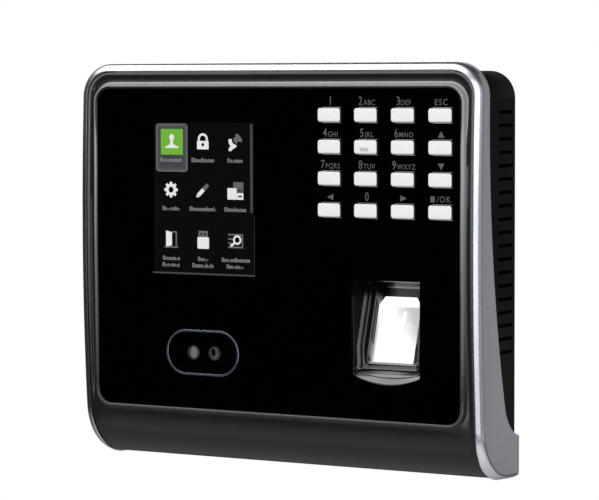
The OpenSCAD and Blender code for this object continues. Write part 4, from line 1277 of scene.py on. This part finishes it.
# Lip of the well: inset from the opening, low, high, corner radius, bow and depth behind the face
WELL_LIP = [(-0.3, -37.2, -2.5, 0.5, 2.95, 0), (-0.02, -37.0, -2.8, 0.5, 2.9, 0.03),
            (0.1, -36.9, -2.9, 0.6, 2.7, 0.15), (0.3, -36.2, -3.2, 0.8, 1.65, 1.15),
            (0.35, -36.1, -3.3, 0.8, 1.6, 1.2)]
# Steps down to the window: inset, low, high, corner radius, bow, and rise off the window's slope
WELL_STEPS = [(0.4, -36.0, -3.4, 0.9, 1.4, (1.3, 3.7)), (0.5, -35.6, -3.5, 1.0, 0.9, (1.15, 3.6)),
              (1.2, -35.3, -3.9, 1.1, 0.4, (0.95, 3.25)), (1.8, -35.1, -4.35, 1.2, 0.1, (0.75, 2.85)),
              (1.9, -35.0, -4.5, 1.2, 0, (0.5, 2.6)), (2.1, -34.85, -4.7, 1.2, 0, (0.5, 2.6)),
              (2.2, -34.75, -4.9, 1.2, 0, (1.0, 2.85)), (2.5, -34.55, -5.2, 1.2, 0, (1.05, 2.85)),
              (2.9, -34.25, -5.6, 1.3, 0, (0.85, 2.6)), (3.2, -33.95, -6.0, 1.4, 0, (0.72, 2.1)),
              (3.3, -33.2, -6.3, 1.5, 0, (0.6, 1.6)), (3.4, -33.05, -6.5, 1.5, 0, (0.2, 0.6)),
              (3.6, -32.9, -6.8, 1.4, 0, (0.15, 0.4))]


def reader():
    """Finger well: a bowed lip, a stepped frame with two ridges, and the seat of the slanted window."""
    half = FINGER_W / 2
    inner = (PRISM_HIGH[0] - PRISM_LOW[0]) / 2 + 0.04
    seat = (WINDOW_LOW, WINDOW_HIGH, 0.5)
    bore = (inner, PRISM_LOW[2] - 0.04, PRISM_HIGH[2] + 0.04, 0.1)
    outside = ((READER_HIGH[0] - READER_LOW[0]) / 2, READER_LOW[2], READER_HIGH[2], 0.6)
    rings = [well_ring(half - inset, *place, depth=WELL_FACE + depth) for inset, *place, depth in WELL_LIP]
    rings += [well_ring(half - inset, *place, rise=rise) for inset, *place, rise in WELL_STEPS]
    rings += [
        well_ring(inner - 0.2, -32.6, -8.9, 0.8, cut=(2.3, 3.1), rise=(0.14, 0.35)),
        well_ring(inner - 0.34, *seat, cut=(2.1, 2.9), rise=(0.1, 0.16)),
        well_ring(inner - 0.38, *seat, cut=(2.1, 2.9), rise=(-0.2, -0.2)),
        well_ring(*bore, rise=(-0.3, -0.3)),
        well_ring(*bore, depth=READER_HIGH[1]),
        well_ring(*outside, depth=READER_HIGH[1]),
        well_ring(*outside, depth=READER_LOW[1]),
    ]
    mesh = finish_mesh("finger_well", *loft(rings, closed=True), sharp=50)
    piece("finger_well", mesh, "reader_grey", stands_for=["fingerprint_surround"])


silver_shell()
bezel()
front_glass()
for key in KEY_NAMES:
    key_cap(key)
screen()
legends()
ring_and_lenses()
reader()


# ---------------------------------------------------------------- carried-over CAD nodes
# Radius of the rounding on the edges of the nodes that show
SOFT_EDGES = {"rear_housing": 0.35, "wall_bracket": 0.15, "usb_cover": 0.1,
              "lock_screw": 0.1, "housing_screws": 0.1, "network_socket": 0.1, "relay_socket": 0.08,
              "reader_socket": 0.08, "power_socket": 0.08, "usb_socket": 0.05, "backup_battery": 0.6}


def dress_nodes():
    """Gives every CAD node its material, and rounds the edges of those that show."""
    for part in frame["record"]["subparts"]:
        node, slot = part["node"], part["material_slot"]
        obj = frame["nodes"][node]
        obj.data.materials.clear()
        obj.data.materials.append(MATERIALS[slot])
        if node in SOFT_EDGES:
            weld = obj.modifiers.new("weld", "WELD")
            weld.merge_threshold = 1e-5
            bevel = obj.modifiers.new("bevel", "BEVEL")
            bevel.width = SOFT_EDGES[node] * MM
            bevel.segments = 2
            bevel.limit_method = "ANGLE"
            bevel.angle_limit = radians(35)
            bevel.harden_normals = True


dress_nodes()


# ---------------------------------------------------------------- camera, light and floor
CAMERA_AT = (0.50416, -0.88478, 0.06719)
CAMERA_TO = (0.00246, -0.01610, 0.00614)
CAMERA_ROLL = radians(-0.13)
FOCAL = 164.95


def aimed(place, target=(0, 0, 0)):
    """Matrix that puts a camera or a light at a place and turns it to a target."""
    way = Vector(target) - Vector(place)
    return Matrix.Translation(place) @ way.to_track_quat("-Z", "Y").to_matrix().to_4x4()


def camera():
    data = bpy.data.cameras.new("camera")
    data.lens = FOCAL
    data.sensor_width = 36.0
    obj = placed("camera", data)
    obj.matrix_world = aimed(CAMERA_AT, CAMERA_TO) @ Matrix.Rotation(CAMERA_ROLL, 4, "Z")
    bpy.context.scene.camera = obj


def softbox(name, azimuth, elevation, distance, width, height, watts):
    """Area light that faces the object from an azimuth to the right of the front."""
    data = bpy.data.lights.new(name, "AREA")
    data.shape = "RECTANGLE"
    data.size, data.size_y = width, height
    data.energy = watts
    obj = placed(name, data)
    a, e = radians(azimuth), radians(elevation)
    obj.matrix_world = aimed((distance * cos(e) * sin(a), -distance * cos(e) * cos(a), distance * sin(e)))
    obj.visible_camera = False


def world():
    """White where the camera looks past the object, and a dim even grey for everything else."""
    data = bpy.data.worlds.new("studio")
    data.use_nodes = True
    tree = data.node_tree
    tree.nodes.clear()
    out = tree.nodes.new("ShaderNodeOutputWorld")
    blend = tree.nodes.new("ShaderNodeMixShader")
    path = tree.nodes.new("ShaderNodeLightPath")
    tree.links.new(path.outputs["Is Camera Ray"], blend.inputs[0])
    tree.links.new(blend.outputs[0], out.inputs["Surface"])
    for entry, color, strength in ((1, (0.9, 0.95, 1.0, 1), 0.08), (2, (1, 1, 1, 1), 1.0)):
        light = tree.nodes.new("ShaderNodeBackground")
        fill(tree, light.inputs["Color"], color)
        fill(tree, light.inputs["Strength"], strength)
        tree.links.new(light.outputs[0], blend.inputs[entry])
    bpy.context.scene.world = data


def floor():
    """Pale matt floor, well below the object."""
    n = Nodes("floor")
    reach, drop = 2.0, -1.2
    corners = [(x, y, drop) for x, y in ((-reach, -reach), (reach, -reach), (reach, reach), (-reach, reach))]
    mesh = bpy.data.meshes.new("floor")
    mesh.from_pydata(corners, [], [(0, 1, 2, 3)])
    mesh.materials.append(n.set(Base_Color=n.blend(n.noise(3.0), grey(0.78), grey(0.82)), Roughness=0.6))
    placed("floor", mesh)


camera()
world()
floor()
softbox("front_box", 25, 4, 1.5, 1.05, 1.5, 21)
softbox("right_box", 76, 4, 1.4, 1.4, 1.5, 4.6)
softbox("side_box", 147, 4, 1.4, 1.7, 1.4, 2.7)
softbox("upper_box", -42, 50, 1.3, 1.5, 0.8, 17)
softbox("middle_box", -29, 22, 1.4, 0.9, 0.4, 1.4)
softbox("back_box", -150, 12, 1.3, 1.2, 0.5, 1.4)
bpy.context.scene.view_settings.view_transform = "Standard"
